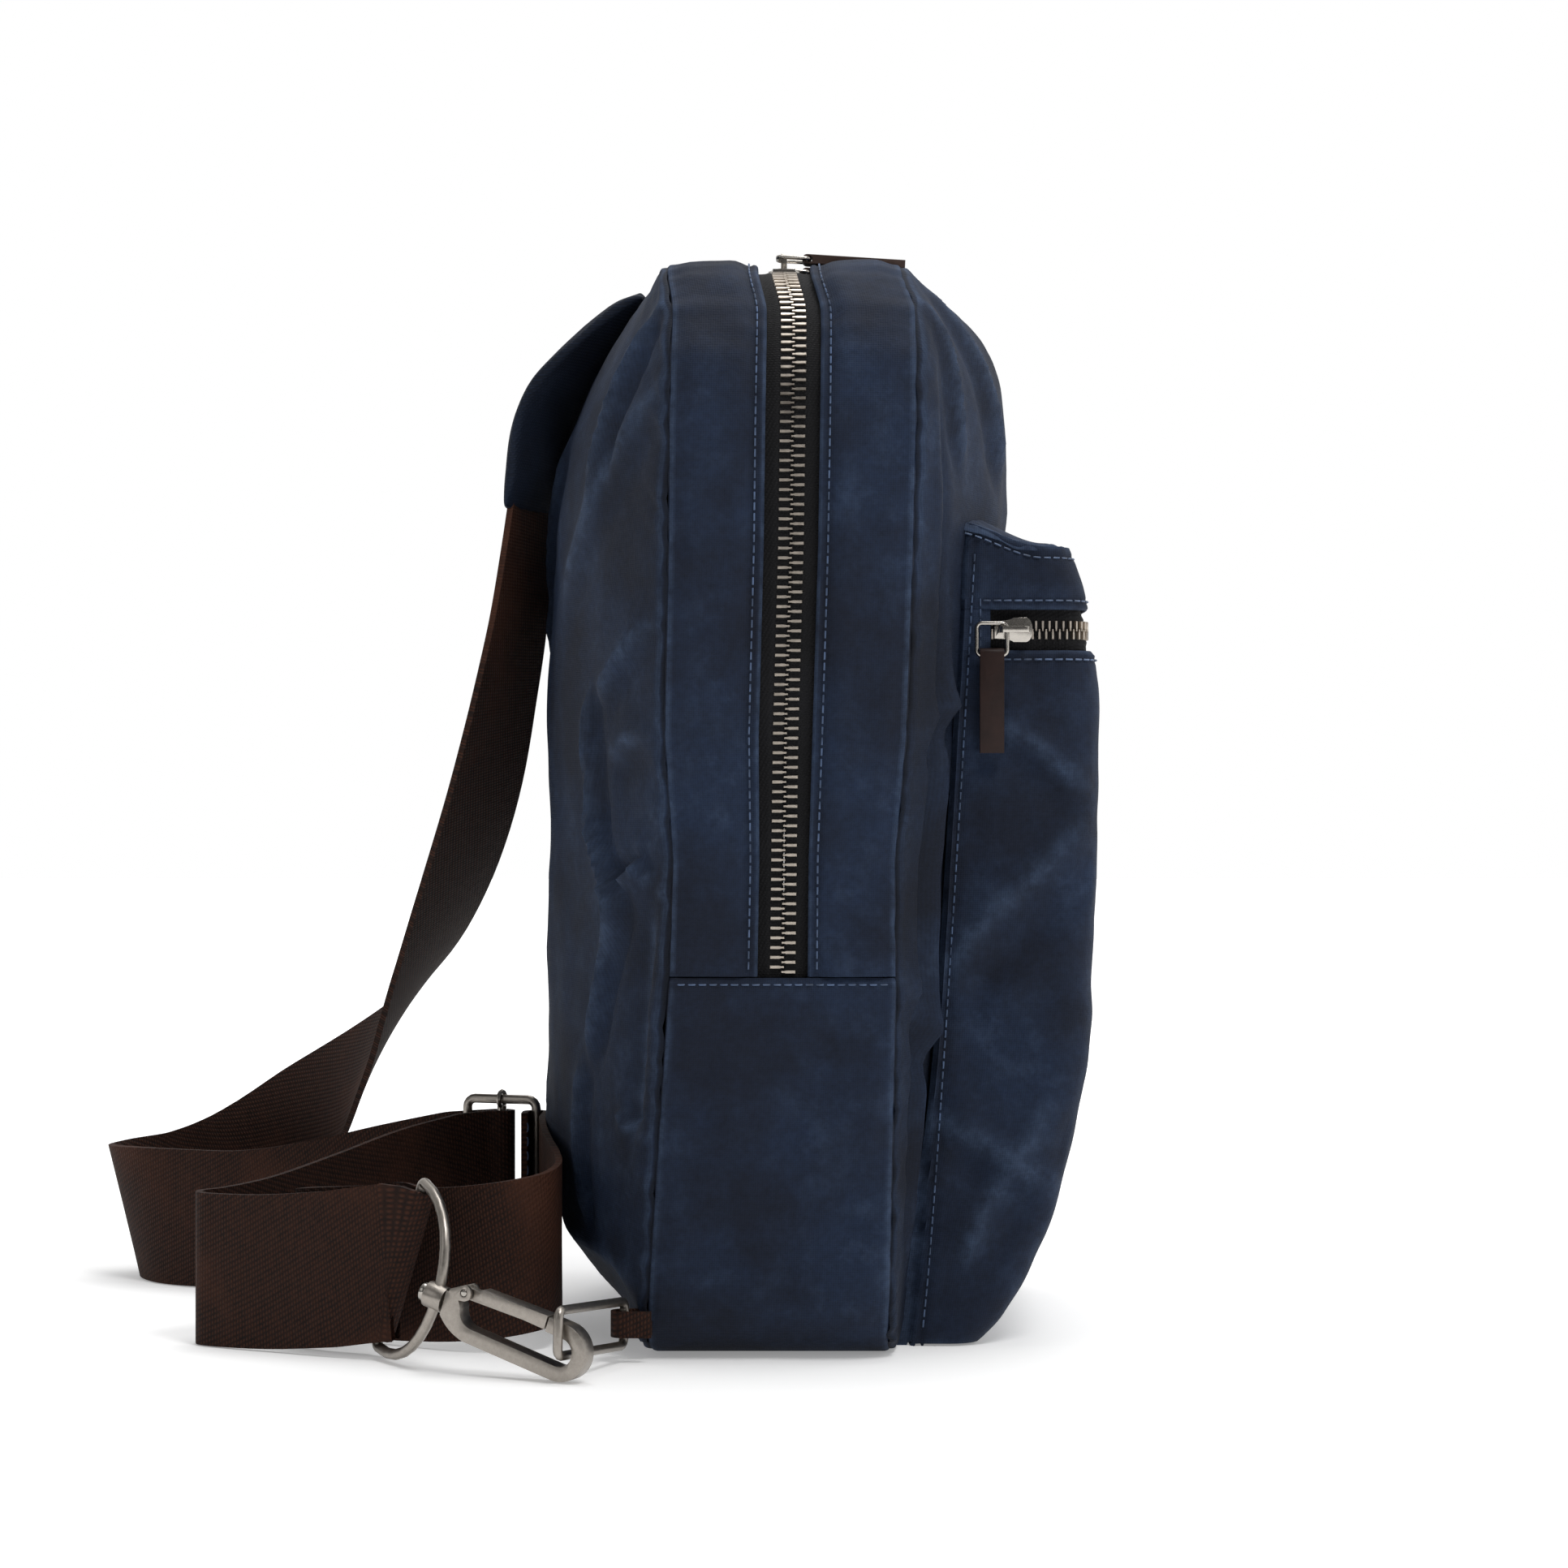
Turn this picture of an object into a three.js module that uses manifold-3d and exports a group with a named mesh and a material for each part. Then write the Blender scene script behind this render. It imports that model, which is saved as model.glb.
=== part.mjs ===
// Crossbody bag in waxed canvas with a webbing strap: millimetres, +Z up, the
// base on z = 0, +X towards the front pocket, -X towards the wearer's back.
import * as THREE from 'three';
import { mergeVertices } from 'three/addons/utils/BufferGeometryUtils.js';
import Module from 'manifold-3d';

const wasm = await Module();
wasm.setup();

// ---- driving dimensions -------------------------------------------------
const bagHeight = 356;
const bagWidth = 236;
const gussetDepth = 75;
const topCornerRadius = 56;
const bottomCornerRadius = 30;
const backBulge = 41;
const frontBulge = 37;
const frontBulgeFullAt = 280;
const canvas = 2;
const seamGap = 0.3;
const bottomSeamHeight = 123;

const foamThickness = 4;
const foamDepth = 2.5;
const foamInset = 14;
const liningThickness = 1;
const liningDepth = 9;
const liningInset = 9;
const liningGussetInset = 7.6;

const tapeThickness = 0.8;
const tapeUnderlap = 7.5;
const mainChainWidth = 8.3;
const mainSlotWidth = mainChainWidth + 8.7;
const mainChainThickness = 2.8;
const chainRecess = 1.2;
const pocketChainWidth = 6.1;
const pocketSlotHeight = pocketChainWidth + 7.2;
const pocketChainThickness = 2.3;

const pocketWidth = bagWidth - 70;
const pocketHeight = bagHeight - 85;
const pocketReach = gussetDepth / 2 + 66.2;
const pocketWidestAt = pocketHeight - 71;
const pocketFootPull = 38;
const pocketShoulderPull = 14;
const pocketTopFall = 8;
const pocketCornerRadius = 12;
const pocketFloorGap = 0.5;
const pocketBackGap = 1.5;
const pocketZipHeight = pocketHeight - 36;
const pocketZipStart = gussetDepth / 2 + 30.3;
const pocketZipSideMargin = 6;
const pocketTapeUnderlap = 5;

const sliderSize = {
  main: { length: 14, width: mainChainWidth + 2.1, plate: 1.5 },
  pocket: { length: 12.4, width: pocketChainWidth + 1.9, plate: 1.4 },
};
const sliderLift = 0.3;
const bridgeThickness = 1.4;
const bridgeWidth = 2;
const bailAxisHeight = 3.1;
const bailWire = 1.4;
const bailWidth = 10;
const bailLength = 10.5;
const bailCornerRadius = 1.6;
const pullWidth = 8.5;
const pullLength = 34;
const pullThickness = 2.6;
const nearPullFromCorner = 10;
const mainSliderPlace = topCornerRadius + nearPullFromCorner - bagWidth / 2;
const mainSliderSpacing = 17;
const pullDroop = 3;
const pocketSliderPlace = pocketZipStart + 7.4;

const webbingWidth = 50;
const webbingThickness = 2.2;
const webbingSlack = 0.9;
const padWidth = webbingWidth + 10;
const padFoamThickness = 5.4;
const padCoverThickness = 1;
const padLayerGap = 0.5;

const hardwareClearance = 0.35;
const adjusterCentre = new THREE.Vector3(-gussetDepth / 2 - 62.5, 18, 44);
const adjusterHeight = webbingWidth + 11;
const adjusterLength = 30;
const adjusterWire = 3.3;
const adjusterEyeWire = 1.6;
const dRingCentre = new THREE.Vector3(-gussetDepth / 2 - 85.5, -bagWidth / 2 + 7, 30.9);
const dRingHeight = webbingWidth + 9;
const dRingCorner = 2;
const dRingDepth = 31;
const dRingWire = 3.5;
const hubRadius = 4.2;
const hubLength = 6.6;
const stemRadius = 1.7;
const rivetHeadRadius = 3;
const rivetHeadThickness = 1.8;
const hookReach = 47;
const hookBendRadius = 6.8;
const hookBar = 4.6;
const hookThickness = 6;
const gateBar = 3.6;
const gatePivotReach = 10;
const gateEnd = 40;
const noseEnd = 40.6;
const gatePinRadius = 1.1;
const ringWire = 3;
const ringLength = 49.5;
const ringWidth = 14;
const ringCornerRadius = 2.5;
const tabHinge = new THREE.Vector3(-gussetDepth / 2 - 13.5, -bagWidth / 2 + 2, 12.5);
const tabHeight = 8.4;
const tabThickness = 1.6;
const tabStart = -gussetDepth / 2 - 4.7;
const tabSlack = 1.2;

// ---- finishes -----------------------------------------------------------
function finish(color, roughness, metalness) {
  return () => new THREE.MeshStandardMaterial({ color, roughness, metalness });
}

const canvasFinish = finish(0x262d3c, 0.85, 0);
const liningFinish = finish(0x30343c, 0.9, 0);
const foamFinish = finish(0x3c3c3e, 0.95, 0);
const tapeFinish = finish(0x161519, 0.9, 0);
const nickelFinish = finish(0xb9b2a6, 0.28, 1);
const satinNickelFinish = finish(0xa9a39b, 0.4, 1);
const webbingFinish = finish(0x2a1d1b, 0.85, 0);
const leatherFinish = finish(0x291e1c, 0.55, 0);

const group = new THREE.Group();

function add(name, geometry, material) {
  const mesh = new THREE.Mesh(geometry, material());
  mesh.name = name;
  group.add(mesh);
  return mesh;
}

// ---- solids -------------------------------------------------------------
function toSolid(geometry) {
  const bare = geometry.clone();
  bare.deleteAttribute('normal');
  bare.deleteAttribute('uv');
  const merged = mergeVertices(bare, 1e-4);
  return new wasm.Manifold(new wasm.Mesh({
    numProp: 3,
    vertProperties: new Float32Array(merged.attributes.position.array),
    triVerts: new Uint32Array(merged.index.array),
  }));
}

function toGeometry(solid) {
  const mesh = solid.getMesh();
  const geometry = new THREE.BufferGeometry();
  geometry.setAttribute('position', new THREE.BufferAttribute(mesh.vertProperties, 3));
  geometry.setIndex(new THREE.BufferAttribute(mesh.triVerts, 1));
  return geometry;
}

function union(...geometries) {
  return toGeometry(geometries.map(toSolid).reduce((a, b) => a.add(b)));
}

function subtract(geometry, ...cutters) {
  return toGeometry(cutters.map(toSolid).reduce((a, b) => a.subtract(b), toSolid(geometry)));
}

function boxBetween(low, high) {
  const box = new THREE.BoxGeometry(high[0] - low[0], high[1] - low[1], high[2] - low[2]);
  return box.translate((low[0] + high[0]) / 2, (low[1] + high[1]) / 2, (low[2] + high[2]) / 2);
}

function extrude(shape, depth, curveSegments = 8) {
  return new THREE.ExtrudeGeometry(shape, { depth, bevelEnabled: false, curveSegments });
}

// A shape drawn in (Y, Z) and extruded along X from xStart.
function acrossX(shape, xStart, depth) {
  const turn = new THREE.Matrix4().makeBasis(
    new THREE.Vector3(0, 1, 0),
    new THREE.Vector3(0, 0, 1),
    new THREE.Vector3(1, 0, 0),
  );
  return extrude(shape, depth).applyMatrix4(turn).translate(xStart, 0, 0);
}

function place(geometry, origin, xAxis, yAxis, zAxis) {
  const turn = new THREE.Matrix4().makeBasis(xAxis, yAxis, zAxis).setPosition(origin);
  return geometry.applyMatrix4(turn);
}

// A closed wire along an outline in the local XY plane.
function wireRing(outline, wire, smoothness, sides = 12) {
  const points = outline.getPoints(smoothness).slice(0, -1);
  const steps = points.length;
  const ring = new THREE.TorusGeometry(1, 0.1, sides, steps);
  const position = ring.attributes.position;
  for (let step = 0; step <= steps; step++) {
    const point = points[step % steps];
    const before = points[(step + steps - 1) % steps];
    const after = points[(step + 1) % steps];
    const tangent = after.clone().sub(before).normalize();
    for (let side = 0; side <= sides; side++) {
      const angle = (side % sides) / sides * Math.PI * 2;
      const reach = wire / 2 * Math.cos(angle);
      const x = point.x + tangent.y * reach;
      const y = point.y - tangent.x * reach;
      position.setXYZ(side * (steps + 1) + step, x, y, wire / 2 * Math.sin(angle));
    }
  }
  return ring;
}

function roundedRectangle(length, width, radius) {
  const path = new THREE.Path();
  const x = length / 2 - radius;
  const y = width / 2 - radius;
  path.moveTo(0, -width / 2);
  path.lineTo(x, -width / 2);
  path.absarc(x, -y, radius, -Math.PI / 2, 0);
  path.absarc(x, y, radius, 0, Math.PI / 2);
  path.absarc(-x, y, radius, Math.PI / 2, Math.PI);
  path.absarc(-x, -y, radius, Math.PI, Math.PI * 1.5);
  path.closePath();
  return path;
}

// ---- bag body -----------------------------------------------------------
function cornerLoss(distance, radius) {
  return distance >= radius ? 0 : radius - Math.sqrt(radius ** 2 - (radius - distance) ** 2);
}

function halfWidthAt(z) {
  const low = cornerLoss(z, bottomCornerRadius);
  const high = cornerLoss(bagHeight - z, topCornerRadius);
  return bagWidth / 2 - low - high;
}

function backBulgeAt(y, z) {
  const height = z / bagHeight * 2 - 1;
  const fullness = 1 - Math.abs(height) ** (height < 0 ? 8 : 5);
  return backBulge * fullness * Math.max(0, 1 - (y / halfWidthAt(z)) ** 2);
}

function frontBulgeAt(y, z) {
  const shoulder = 1 - Math.max(0, z / bagHeight * 2 - 1) ** 12;
  const rise = Math.min(z / frontBulgeFullAt, 1) ** 0.85;
  return frontBulge * rise * shoulder * Math.max(0, 1 - (y / halfWidthAt(z)) ** 2);
}

const panelStart = gussetDepth / 2 + seamGap;

function frontFaceAt(y, z) {
  return panelStart + canvas + frontBulgeAt(y, z);
}

function backFaceAt(y, z) {
  return -panelStart - canvas - backBulgeAt(y, z);
}

// A bulged panel: towards is +1 for the front and -1 for the back, depth is how
// far its outer face lies inside the canvas's inner face.
function panel(towards, bulgeAt, inset, depth, thickness, columns = 12, rows = 14) {
  const box = new THREE.BoxGeometry(2, 2, 1, 1, columns, rows);
  const position = box.attributes.position;
  for (let i = 0; i < position.count; i++) {
    const share = 0.5 - 0.5 * Math.cos(Math.PI * (position.getZ(i) + 0.5));
    const z = inset + (bagHeight - 2 * inset) * share;
    const y = position.getY(i) * (halfWidthAt(z) - inset);
    const outer = Math.sign(position.getX(i)) === towards;
    const reach = panelStart + bulgeAt(y, z) - depth - (outer ? 0 : thickness);
    position.setXYZ(i, towards * reach, y, z);
  }
  return box;
}

// The gusset's section over the top, from one bottom seam to the other.
function upperLoop(outerInset, thickness, lowest) {
  const side = bagWidth / 2;
  const bendY = side - topCornerRadius;
  const bendZ = bagHeight - topCornerRadius;
  const outer = topCornerRadius - outerInset;
  const inner = outer - thickness;
  const shape = new THREE.Shape();
  shape.moveTo(-side + outerInset, lowest);
  shape.absarc(-bendY, bendZ, outer, Math.PI, Math.PI / 2, true);
  shape.absarc(bendY, bendZ, outer, Math.PI / 2, 0, true);
  shape.lineTo(side - outerInset, lowest);
  shape.lineTo(side - outerInset - thickness, lowest);
  shape.absarc(bendY, bendZ, inner, 0, Math.PI / 2, false);
  shape.absarc(-bendY, bendZ, inner, Math.PI / 2, Math.PI, false);
  shape.lineTo(-side + outerInset + thickness, lowest);
  return shape;
}

// The gusset's section under the base, up to the bottom seams.
function lowerLoop(outerInset, thickness, highest) {
  const side = bagWidth / 2;
  const bendY = side - bottomCornerRadius;
  const outer = bottomCornerRadius - outerInset;
  const inner = outer - thickness;
  const shape = new THREE.Shape();
  shape.moveTo(-side + outerInset, highest);
  shape.lineTo(-side + outerInset + thickness, highest);
  shape.absarc(-bendY, bottomCornerRadius, inner, Math.PI, Math.PI * 1.5, false);
  shape.absarc(bendY, bottomCornerRadius, inner, Math.PI * 1.5, Math.PI * 2, false);
  shape.lineTo(side - outerInset - thickness, highest);
  shape.lineTo(side - outerInset, highest);
  shape.absarc(bendY, bottomCornerRadius, outer, Math.PI * 2, Math.PI * 1.5, true);
  shape.absarc(-bendY, bottomCornerRadius, outer, Math.PI * 1.5, Math.PI, true);
  return shape;
}

function addBody() {
  add('back_panel', panel(-1, backBulgeAt, 0, -canvas, canvas), canvasFinish);
  add('front_panel', panel(1, frontBulgeAt, 0, -canvas, canvas), canvasFinish);
  const foam = panel(-1, backBulgeAt, foamInset, foamDepth, foamThickness, 8, 10);
  add('back_foam', foam, foamFinish);
  for (const [name, towards, bulgeAt] of [['back', -1, backBulgeAt], ['front', 1, frontBulgeAt]]) {
    const lining = panel(towards, bulgeAt, liningInset, liningDepth, liningThickness, 8, 10);
    add(`lining_${name}`, lining, liningFinish);
  }
}

function addGusset() {
  const half = gussetDepth / 2;
  const slot = mainSlotWidth / 2;
  const strip = half - slot;
  const upper = upperLoop(0, canvas, bottomSeamHeight + seamGap / 2);
  add('gusset_zip_strip_back', acrossX(upper, -half, strip), canvasFinish);
  add('gusset_zip_strip_front', acrossX(upper, slot, strip), canvasFinish);
  const lower = lowerLoop(0, canvas, bottomSeamHeight - seamGap / 2);
  add('gusset_lower', acrossX(lower, -half, gussetDepth), canvasFinish);
  const liningLoop = upperLoop(liningGussetInset, liningThickness, bottomSeamHeight + seamGap / 2);
  const liningReach = half - liningDepth - 2 * liningThickness;
  const liningStrip = liningReach - slot - tapeUnderlap;
  add('lining_gusset_back', acrossX(liningLoop, -liningReach, liningStrip), liningFinish);
  add('lining_gusset_front', acrossX(liningLoop, liningReach - liningStrip, liningStrip), liningFinish);
  const liningBase = lowerLoop(liningGussetInset, liningThickness, bottomSeamHeight - seamGap / 2);
  add('lining_gusset_lower', acrossX(liningBase, -liningReach, 2 * liningReach), liningFinish);
}

function addMainZip() {
  const slot = mainSlotWidth / 2;
  const chain = mainChainWidth / 2;
  const tape = upperLoop(canvas + seamGap, tapeThickness, bottomSeamHeight - tapeUnderlap);
  const tapeWidth = slot + tapeUnderlap - chain - seamGap;
  add('main_zip_tape_back', acrossX(tape, -slot - tapeUnderlap, tapeWidth), tapeFinish);
  add('main_zip_tape_front', acrossX(tape, chain + seamGap, tapeWidth), tapeFinish);
  const teeth = upperLoop(chainRecess, mainChainThickness, bottomSeamHeight + seamGap);
  add('main_zip_chain', acrossX(teeth, -chain, mainChainWidth), nickelFinish);
}

// ---- front pocket -------------------------------------------------------
function pocketFrontAt(z) {
  const below = Math.max(0, 1 - z / pocketWidestAt) ** 4 * pocketFootPull;
  const above = Math.max(0, (z - pocketWidestAt) / (pocketHeight - pocketWidestAt)) ** 3;
  return pocketReach - below - above * pocketShoulderPull;
}

// The pocket's outer form, pulled in by inset; behind carries it back past the panel.
function pocketForm(inset, behind, columns = 12, rows = 11) {
  const box = new THREE.BoxGeometry(1, 2, 1, 1, columns, rows);
  const position = box.attributes.position;
  const half = pocketWidth / 2 - inset;
  for (let i = 0; i < position.count; i++) {
    const forward = position.getX(i) + 0.5;
    const y = half * Math.sin(position.getY(i) * Math.PI / 2);
    const top = pocketHeight - inset - pocketTopFall * forward;
    const bottom = pocketFloorGap + inset;
    const z = bottom + (top - bottom) * (position.getZ(i) + 0.5);
    const corner = cornerLoss(half - Math.abs(y), pocketCornerRadius - inset);
    const front = pocketFrontAt(z) - inset - corner;
    const back = frontFaceAt(y, z) + pocketBackGap - behind;
    position.setXYZ(i, back + (front - back) * forward, y, z);
  }
  return box;
}

function pocketLayer(outerInset, thickness, low, high) {
  const layer = toSolid(pocketForm(outerInset, 0)).subtract(toSolid(pocketForm(outerInset + thickness, 30)));
  return toGeometry(layer.intersect(toSolid(boxBetween(low, high))));
}

function addPocket() {
  const wide = pocketWidth;
  const slotLow = pocketZipHeight - pocketSlotHeight / 2;
  const slotHigh = pocketZipHeight + pocketSlotHeight / 2;
  const slot = boxBetween([pocketZipStart, -wide, slotLow], [2 * pocketReach, wide, slotHigh]);
  const shell = subtract(pocketForm(0, 0), pocketForm(canvas, 30), slot);
  add('pocket_shell', shell, canvasFinish);
  const chain = pocketChainWidth / 2;
  const tapeStart = pocketZipStart - pocketZipSideMargin;
  const bands = {
    upper: [pocketZipHeight + chain + seamGap, slotHigh + pocketTapeUnderlap],
    lower: [slotLow - pocketTapeUnderlap, pocketZipHeight - chain - seamGap],
  };
  for (const [name, [low, high]] of Object.entries(bands)) {
    const band = pocketLayer(
      canvas + seamGap,
      tapeThickness,
      [tapeStart, -wide, low],
      [2 * pocketReach, wide, high],
    );
    add(`pocket_zip_tape_${name}`, band, tapeFinish);
  }
  const teeth = pocketLayer(
    chainRecess,
    pocketChainThickness,
    [pocketZipStart + 2 * seamGap, -wide, pocketZipHeight - chain],
    [2 * pocketReach, wide, pocketZipHeight + chain],
  );
  add('pocket_zip_chain', teeth, nickelFinish);
}

// ---- sliders and pulls --------------------------------------------------
// Local frame: X along the chain, Z outwards, z = 0 on the chain's outer face.
function sliderBody({ length, width, plate }) {
  const half = length / 2;
  const tail = width * 0.36;
  const outline = new THREE.Shape();
  outline.moveTo(-half, -tail);
  outline.quadraticCurveTo(-half * 0.2, -tail, 0, -width / 2);
  outline.lineTo(half * 0.7, -width / 2);
  outline.quadraticCurveTo(half, -width * 0.4, half, 0);
  outline.quadraticCurveTo(half, width * 0.4, half * 0.7, width / 2);
  outline.lineTo(0, width / 2);
  outline.quadraticCurveTo(-half * 0.2, tail, -half, tail);
  const cap = extrude(outline, plate, 5).translate(0, 0, sliderLift);
  const deck = sliderLift + plate;
  const crown = deck + bailAxisHeight + bailWire / 2 + hardwareClearance + bridgeThickness;
  const legReach = length * 0.4;
  const foot = deck - plate / 2;
  const chamfer = 1.3;
  const inside = legReach - bridgeThickness;
  const arch = new THREE.Shape();
  arch.moveTo(-legReach, foot);
  arch.quadraticCurveTo(-legReach, crown, -legReach + chamfer, crown);
  arch.lineTo(legReach - chamfer, crown);
  arch.quadraticCurveTo(legReach, crown, legReach, crown - chamfer);
  arch.lineTo(legReach, foot);
  arch.lineTo(inside, foot);
  arch.lineTo(inside, crown - bridgeThickness);
  arch.lineTo(-inside, crown - bridgeThickness);
  arch.lineTo(-inside, foot);
  const bridge = extrude(arch, bridgeWidth, 5);
  bridge.rotateX(Math.PI / 2).translate(0, bridgeWidth / 2, 0);
  return union(cap, bridge);
}

// The bail's ring passes through the bridge and round its tail leg.
function bail({ length, plate }) {
  const ring = wireRing(roundedRectangle(bailWidth, bailLength, bailCornerRadius), bailWire, 2, 8);
  const behind = bridgeWidth / 2 + hardwareClearance + bailWire / 2;
  const legReach = length * 0.4;
  const innerSide = -legReach + bridgeThickness + bailWire / 2 + 0.6;
  ring.translate(innerSide - bailWidth / 2, behind - bailLength / 2, bailHeight({ plate }));
  return ring;
}

function bailHeight({ plate }) {
  return sliderLift + plate + bailAxisHeight;
}

function bailCentre({ length }) {
  return -length * 0.4 + bridgeThickness + bailWire / 2 + 0.6 - bailWidth / 2;
}

// A doubled leather strip, closed round the bail's far bar.
function leatherPull(size) {
  const barAt = bridgeWidth / 2 + hardwareClearance + bailWire / 2 - bailLength;
  const hole = bailWire / 2 + hardwareClearance;
  const strip = new THREE.Shape();
  const top = barAt + hole + 1;
  const bottom = top - pullLength;
  strip.moveTo(bottom, -pullThickness / 2);
  strip.lineTo(top - pullThickness / 2, -pullThickness / 2 - 0.3);
  strip.absarc(top - pullThickness / 2, 0, pullThickness / 2 + 0.3, -Math.PI / 2, Math.PI / 2);
  strip.lineTo(bottom, pullThickness / 2);
  const eye = new THREE.Path();
  eye.absarc(barAt, 0, hole, 0, Math.PI * 2, true);
  strip.holes.push(eye);
  const inside = bailWidth - bailWire - 2 * hardwareClearance;
  const wide = Math.min(pullWidth, inside);
  const pull = extrude(strip, wide, 5);
  const turn = new THREE.Matrix4().makeBasis(
    new THREE.Vector3(0, 1, 0),
    new THREE.Vector3(0, 0, 1),
    new THREE.Vector3(1, 0, 0),
  );
  pull.applyMatrix4(turn);
  return pull.translate(bailCentre(size) - wide / 2, 0, bailHeight(size));
}

// Puts a slider with its bail and pull at origin; droop turns the pull about the bail's axis.
function addSlider(prefix, size, origin, along, outwards, droop) {
  const side = new THREE.Vector3().crossVectors(outwards, along);
  const swing = (geometry) => {
    const height = bailHeight(size);
    return geometry.translate(0, 0, -height).rotateX(THREE.MathUtils.degToRad(droop)).translate(0, 0, height);
  };
  const put = (geometry) => place(geometry, origin, along, side, outwards);
  add(`${prefix}_slider`, put(sliderBody(size)), nickelFinish);
  add(`${prefix}_bail`, put(swing(bail(size))), nickelFinish);
  add(`${prefix}_pull`, put(swing(leatherPull(size))), leatherFinish);
}

function addSliders() {
  const up = new THREE.Vector3(0, 0, 1);
  const top = bagHeight - chainRecess;
  const near = new THREE.Vector3(0, mainSliderPlace, top);
  const far = new THREE.Vector3(0, mainSliderPlace + mainSliderSpacing, top);
  addSlider('main_zip_near', sliderSize.main, near, new THREE.Vector3(0, 1, 0), up, pullDroop);
  addSlider('main_zip_far', sliderSize.main, far, new THREE.Vector3(0, -1, 0), up, 180 - pullDroop);
  const face = -pocketWidth / 2 + chainRecess;
  addSlider(
    'pocket_zip',
    sliderSize.pocket,
    new THREE.Vector3(pocketSliderPlace, face, pocketZipHeight),
    new THREE.Vector3(1, 0, 0),
    new THREE.Vector3(0, -1, 0),
    0,
  );
}

// ---- strap --------------------------------------------------------------
// A flat band along stations of [place, direction of its width].
function band(stations, width, thickness, offset = 0) {
  const corners = [];
  const last = stations.length - 1;
  stations.forEach(([at, across], i) => {
    const before = stations[Math.max(i - 1, 0)][0];
    const after = stations[Math.min(i + 1, last)][0];
    const tangent = after.clone().sub(before).normalize();
    const wide = across.clone().addScaledVector(tangent, -across.dot(tangent)).normalize();
    const normal = new THREE.Vector3().crossVectors(tangent, wide);
    for (const [w, n] of [[-1, -1], [1, -1], [1, 1], [-1, 1]]) {
      const corner = at.clone().addScaledVector(wide, w * width / 2);
      corner.addScaledVector(normal, offset + n * thickness / 2);
      corners.push(corner);
    }
  });
  const index = [0, 2, 1, 0, 3, 2];
  for (let i = 0; i < last; i++) {
    for (let k = 0; k < 4; k++) {
      const a = 4 * i + k;
      const b = 4 * i + (k + 1) % 4;
      index.push(a, b, b + 4, a, b + 4, a + 4);
    }
  }
  const end = 4 * last;
  index.push(end, end + 1, end + 2, end, end + 2, end + 3);
  const geometry = new THREE.BufferGeometry().setFromPoints(corners);
  return geometry.setIndex(index);
}

// Stations along a smooth curve through rows of [x, y, z, across x, y, z].
function smoothStations(rows, perSpan) {
  const places = new THREE.CatmullRomCurve3(rows.map((r) => new THREE.Vector3(r[0], r[1], r[2])));
  const widths = new THREE.CatmullRomCurve3(rows.map((r) => new THREE.Vector3(r[3], r[4], r[5])));
  const count = (rows.length - 1) * perSpan;
  return Array.from({ length: count + 1 }, (_, i) => [places.getPoint(i / count), widths.getPoint(i / count)]);
}

// Half a turn round a bar, from the side that start points to, by way of the side of way,
// with a short straight lead at both ends.
function halfTurn(centre, axis, start, way, radius, lead = 2.5, steps = 8) {
  const at = (along, sideways) => [
    centre.clone().addScaledVector(start, along).addScaledVector(way, sideways),
    axis,
  ];
  const arc = Array.from({ length: steps + 1 }, (_, i) => {
    const angle = Math.PI * i / steps;
    return at(radius * Math.cos(angle), radius * Math.sin(angle));
  });
  return [at(radius, -lead), ...arc, at(-radius, -lead)];
}

// The pad follows the back panel: each row is the drop below the bag's top, the distance
// behind the panel and the share of the pad's width that turns forwards.
const padRoute = [
  [4, 6.2, 0.02],
  [9, 6.6, 0.05],
  [19, 8.8, 0.12],
  [27, 11, 0.2],
  [38, 13, 0.26],
  [50, 12.6, 0.27],
  [67, 11.2, 0.26],
].map(([drop, behind, turn]) => besideBack(drop, behind, turn));

function besideBack(drop, behind, turn) {
  const z = bagHeight - drop;
  return [backFaceAt(0, Math.min(z, bagHeight)) - behind, 0, z, turn, 0.98, 0];
}

const hangingRoute = [
  besideBack(68.6, 10.3, 0.21),
  besideBack(90, 10.2, 0.25),
  [-93, 1, 240, 0.3, 0.95, 0],
  [-98.5, 4, 212, 0.36, 0.93, 0.05],
  [-106, 12, 181, 0.44, 0.88, 0.14],
  [-116, 25, 151, 0.5, 0.8, 0.3],
  [-128, 42, 123, 0.5, 0.7, 0.5],
  [-142, 62, 98, 0.42, 0.52, 0.74],
  [-160, 86, 76, 0.28, 0.32, 0.9],
  [-183, 108, 55, 0.12, 0.14, 0.98],
  [-207, 121, 36, 0, 0.03, 1],
  [-228, 122, 27.5, -0.12, 0, 1],
  [-243, 110, 25.5, -0.22, 0, 0.97],
  [-246, 93, 25.4, -0.24, 0, 0.97],
  [-236, 77, 25.4, -0.18, 0.03, 0.98],
  [-218, 65, 25.4, -0.06, 0.03, 1],
  [-196, 55, 26, 0, 0, 1],
  [-168, 45.5, 30.5, 0, 0, 1],
  [-140, 36, 37.5, 0, 0, 1],
  [-118, 28.5, 42.5, 0, 0, 1],
];

const innerRoute = [
  [-113, 9.5, 43.5, 0, 0, 1],
  [-130, -7.5, 40, 0, 0, 1],
  [-150, -28, 33.5, 0, 0, 1],
  [-171, -50, 27.5, 0, 0, 1],
  [-186, -65, 25.5, 0, 0, 1],
  [-192.5, -72.5, 25.4, 0, 0, 1],
  [-192, -79, 25.4, 0, 0, 1],
  [-185, -84, 25.4, 0, 0, 1],
  [-168, -93, 26, 0.05, -0.02, 1],
  [-146, -104.5, 28.3, 0.16, -0.06, 0.98],
];

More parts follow.
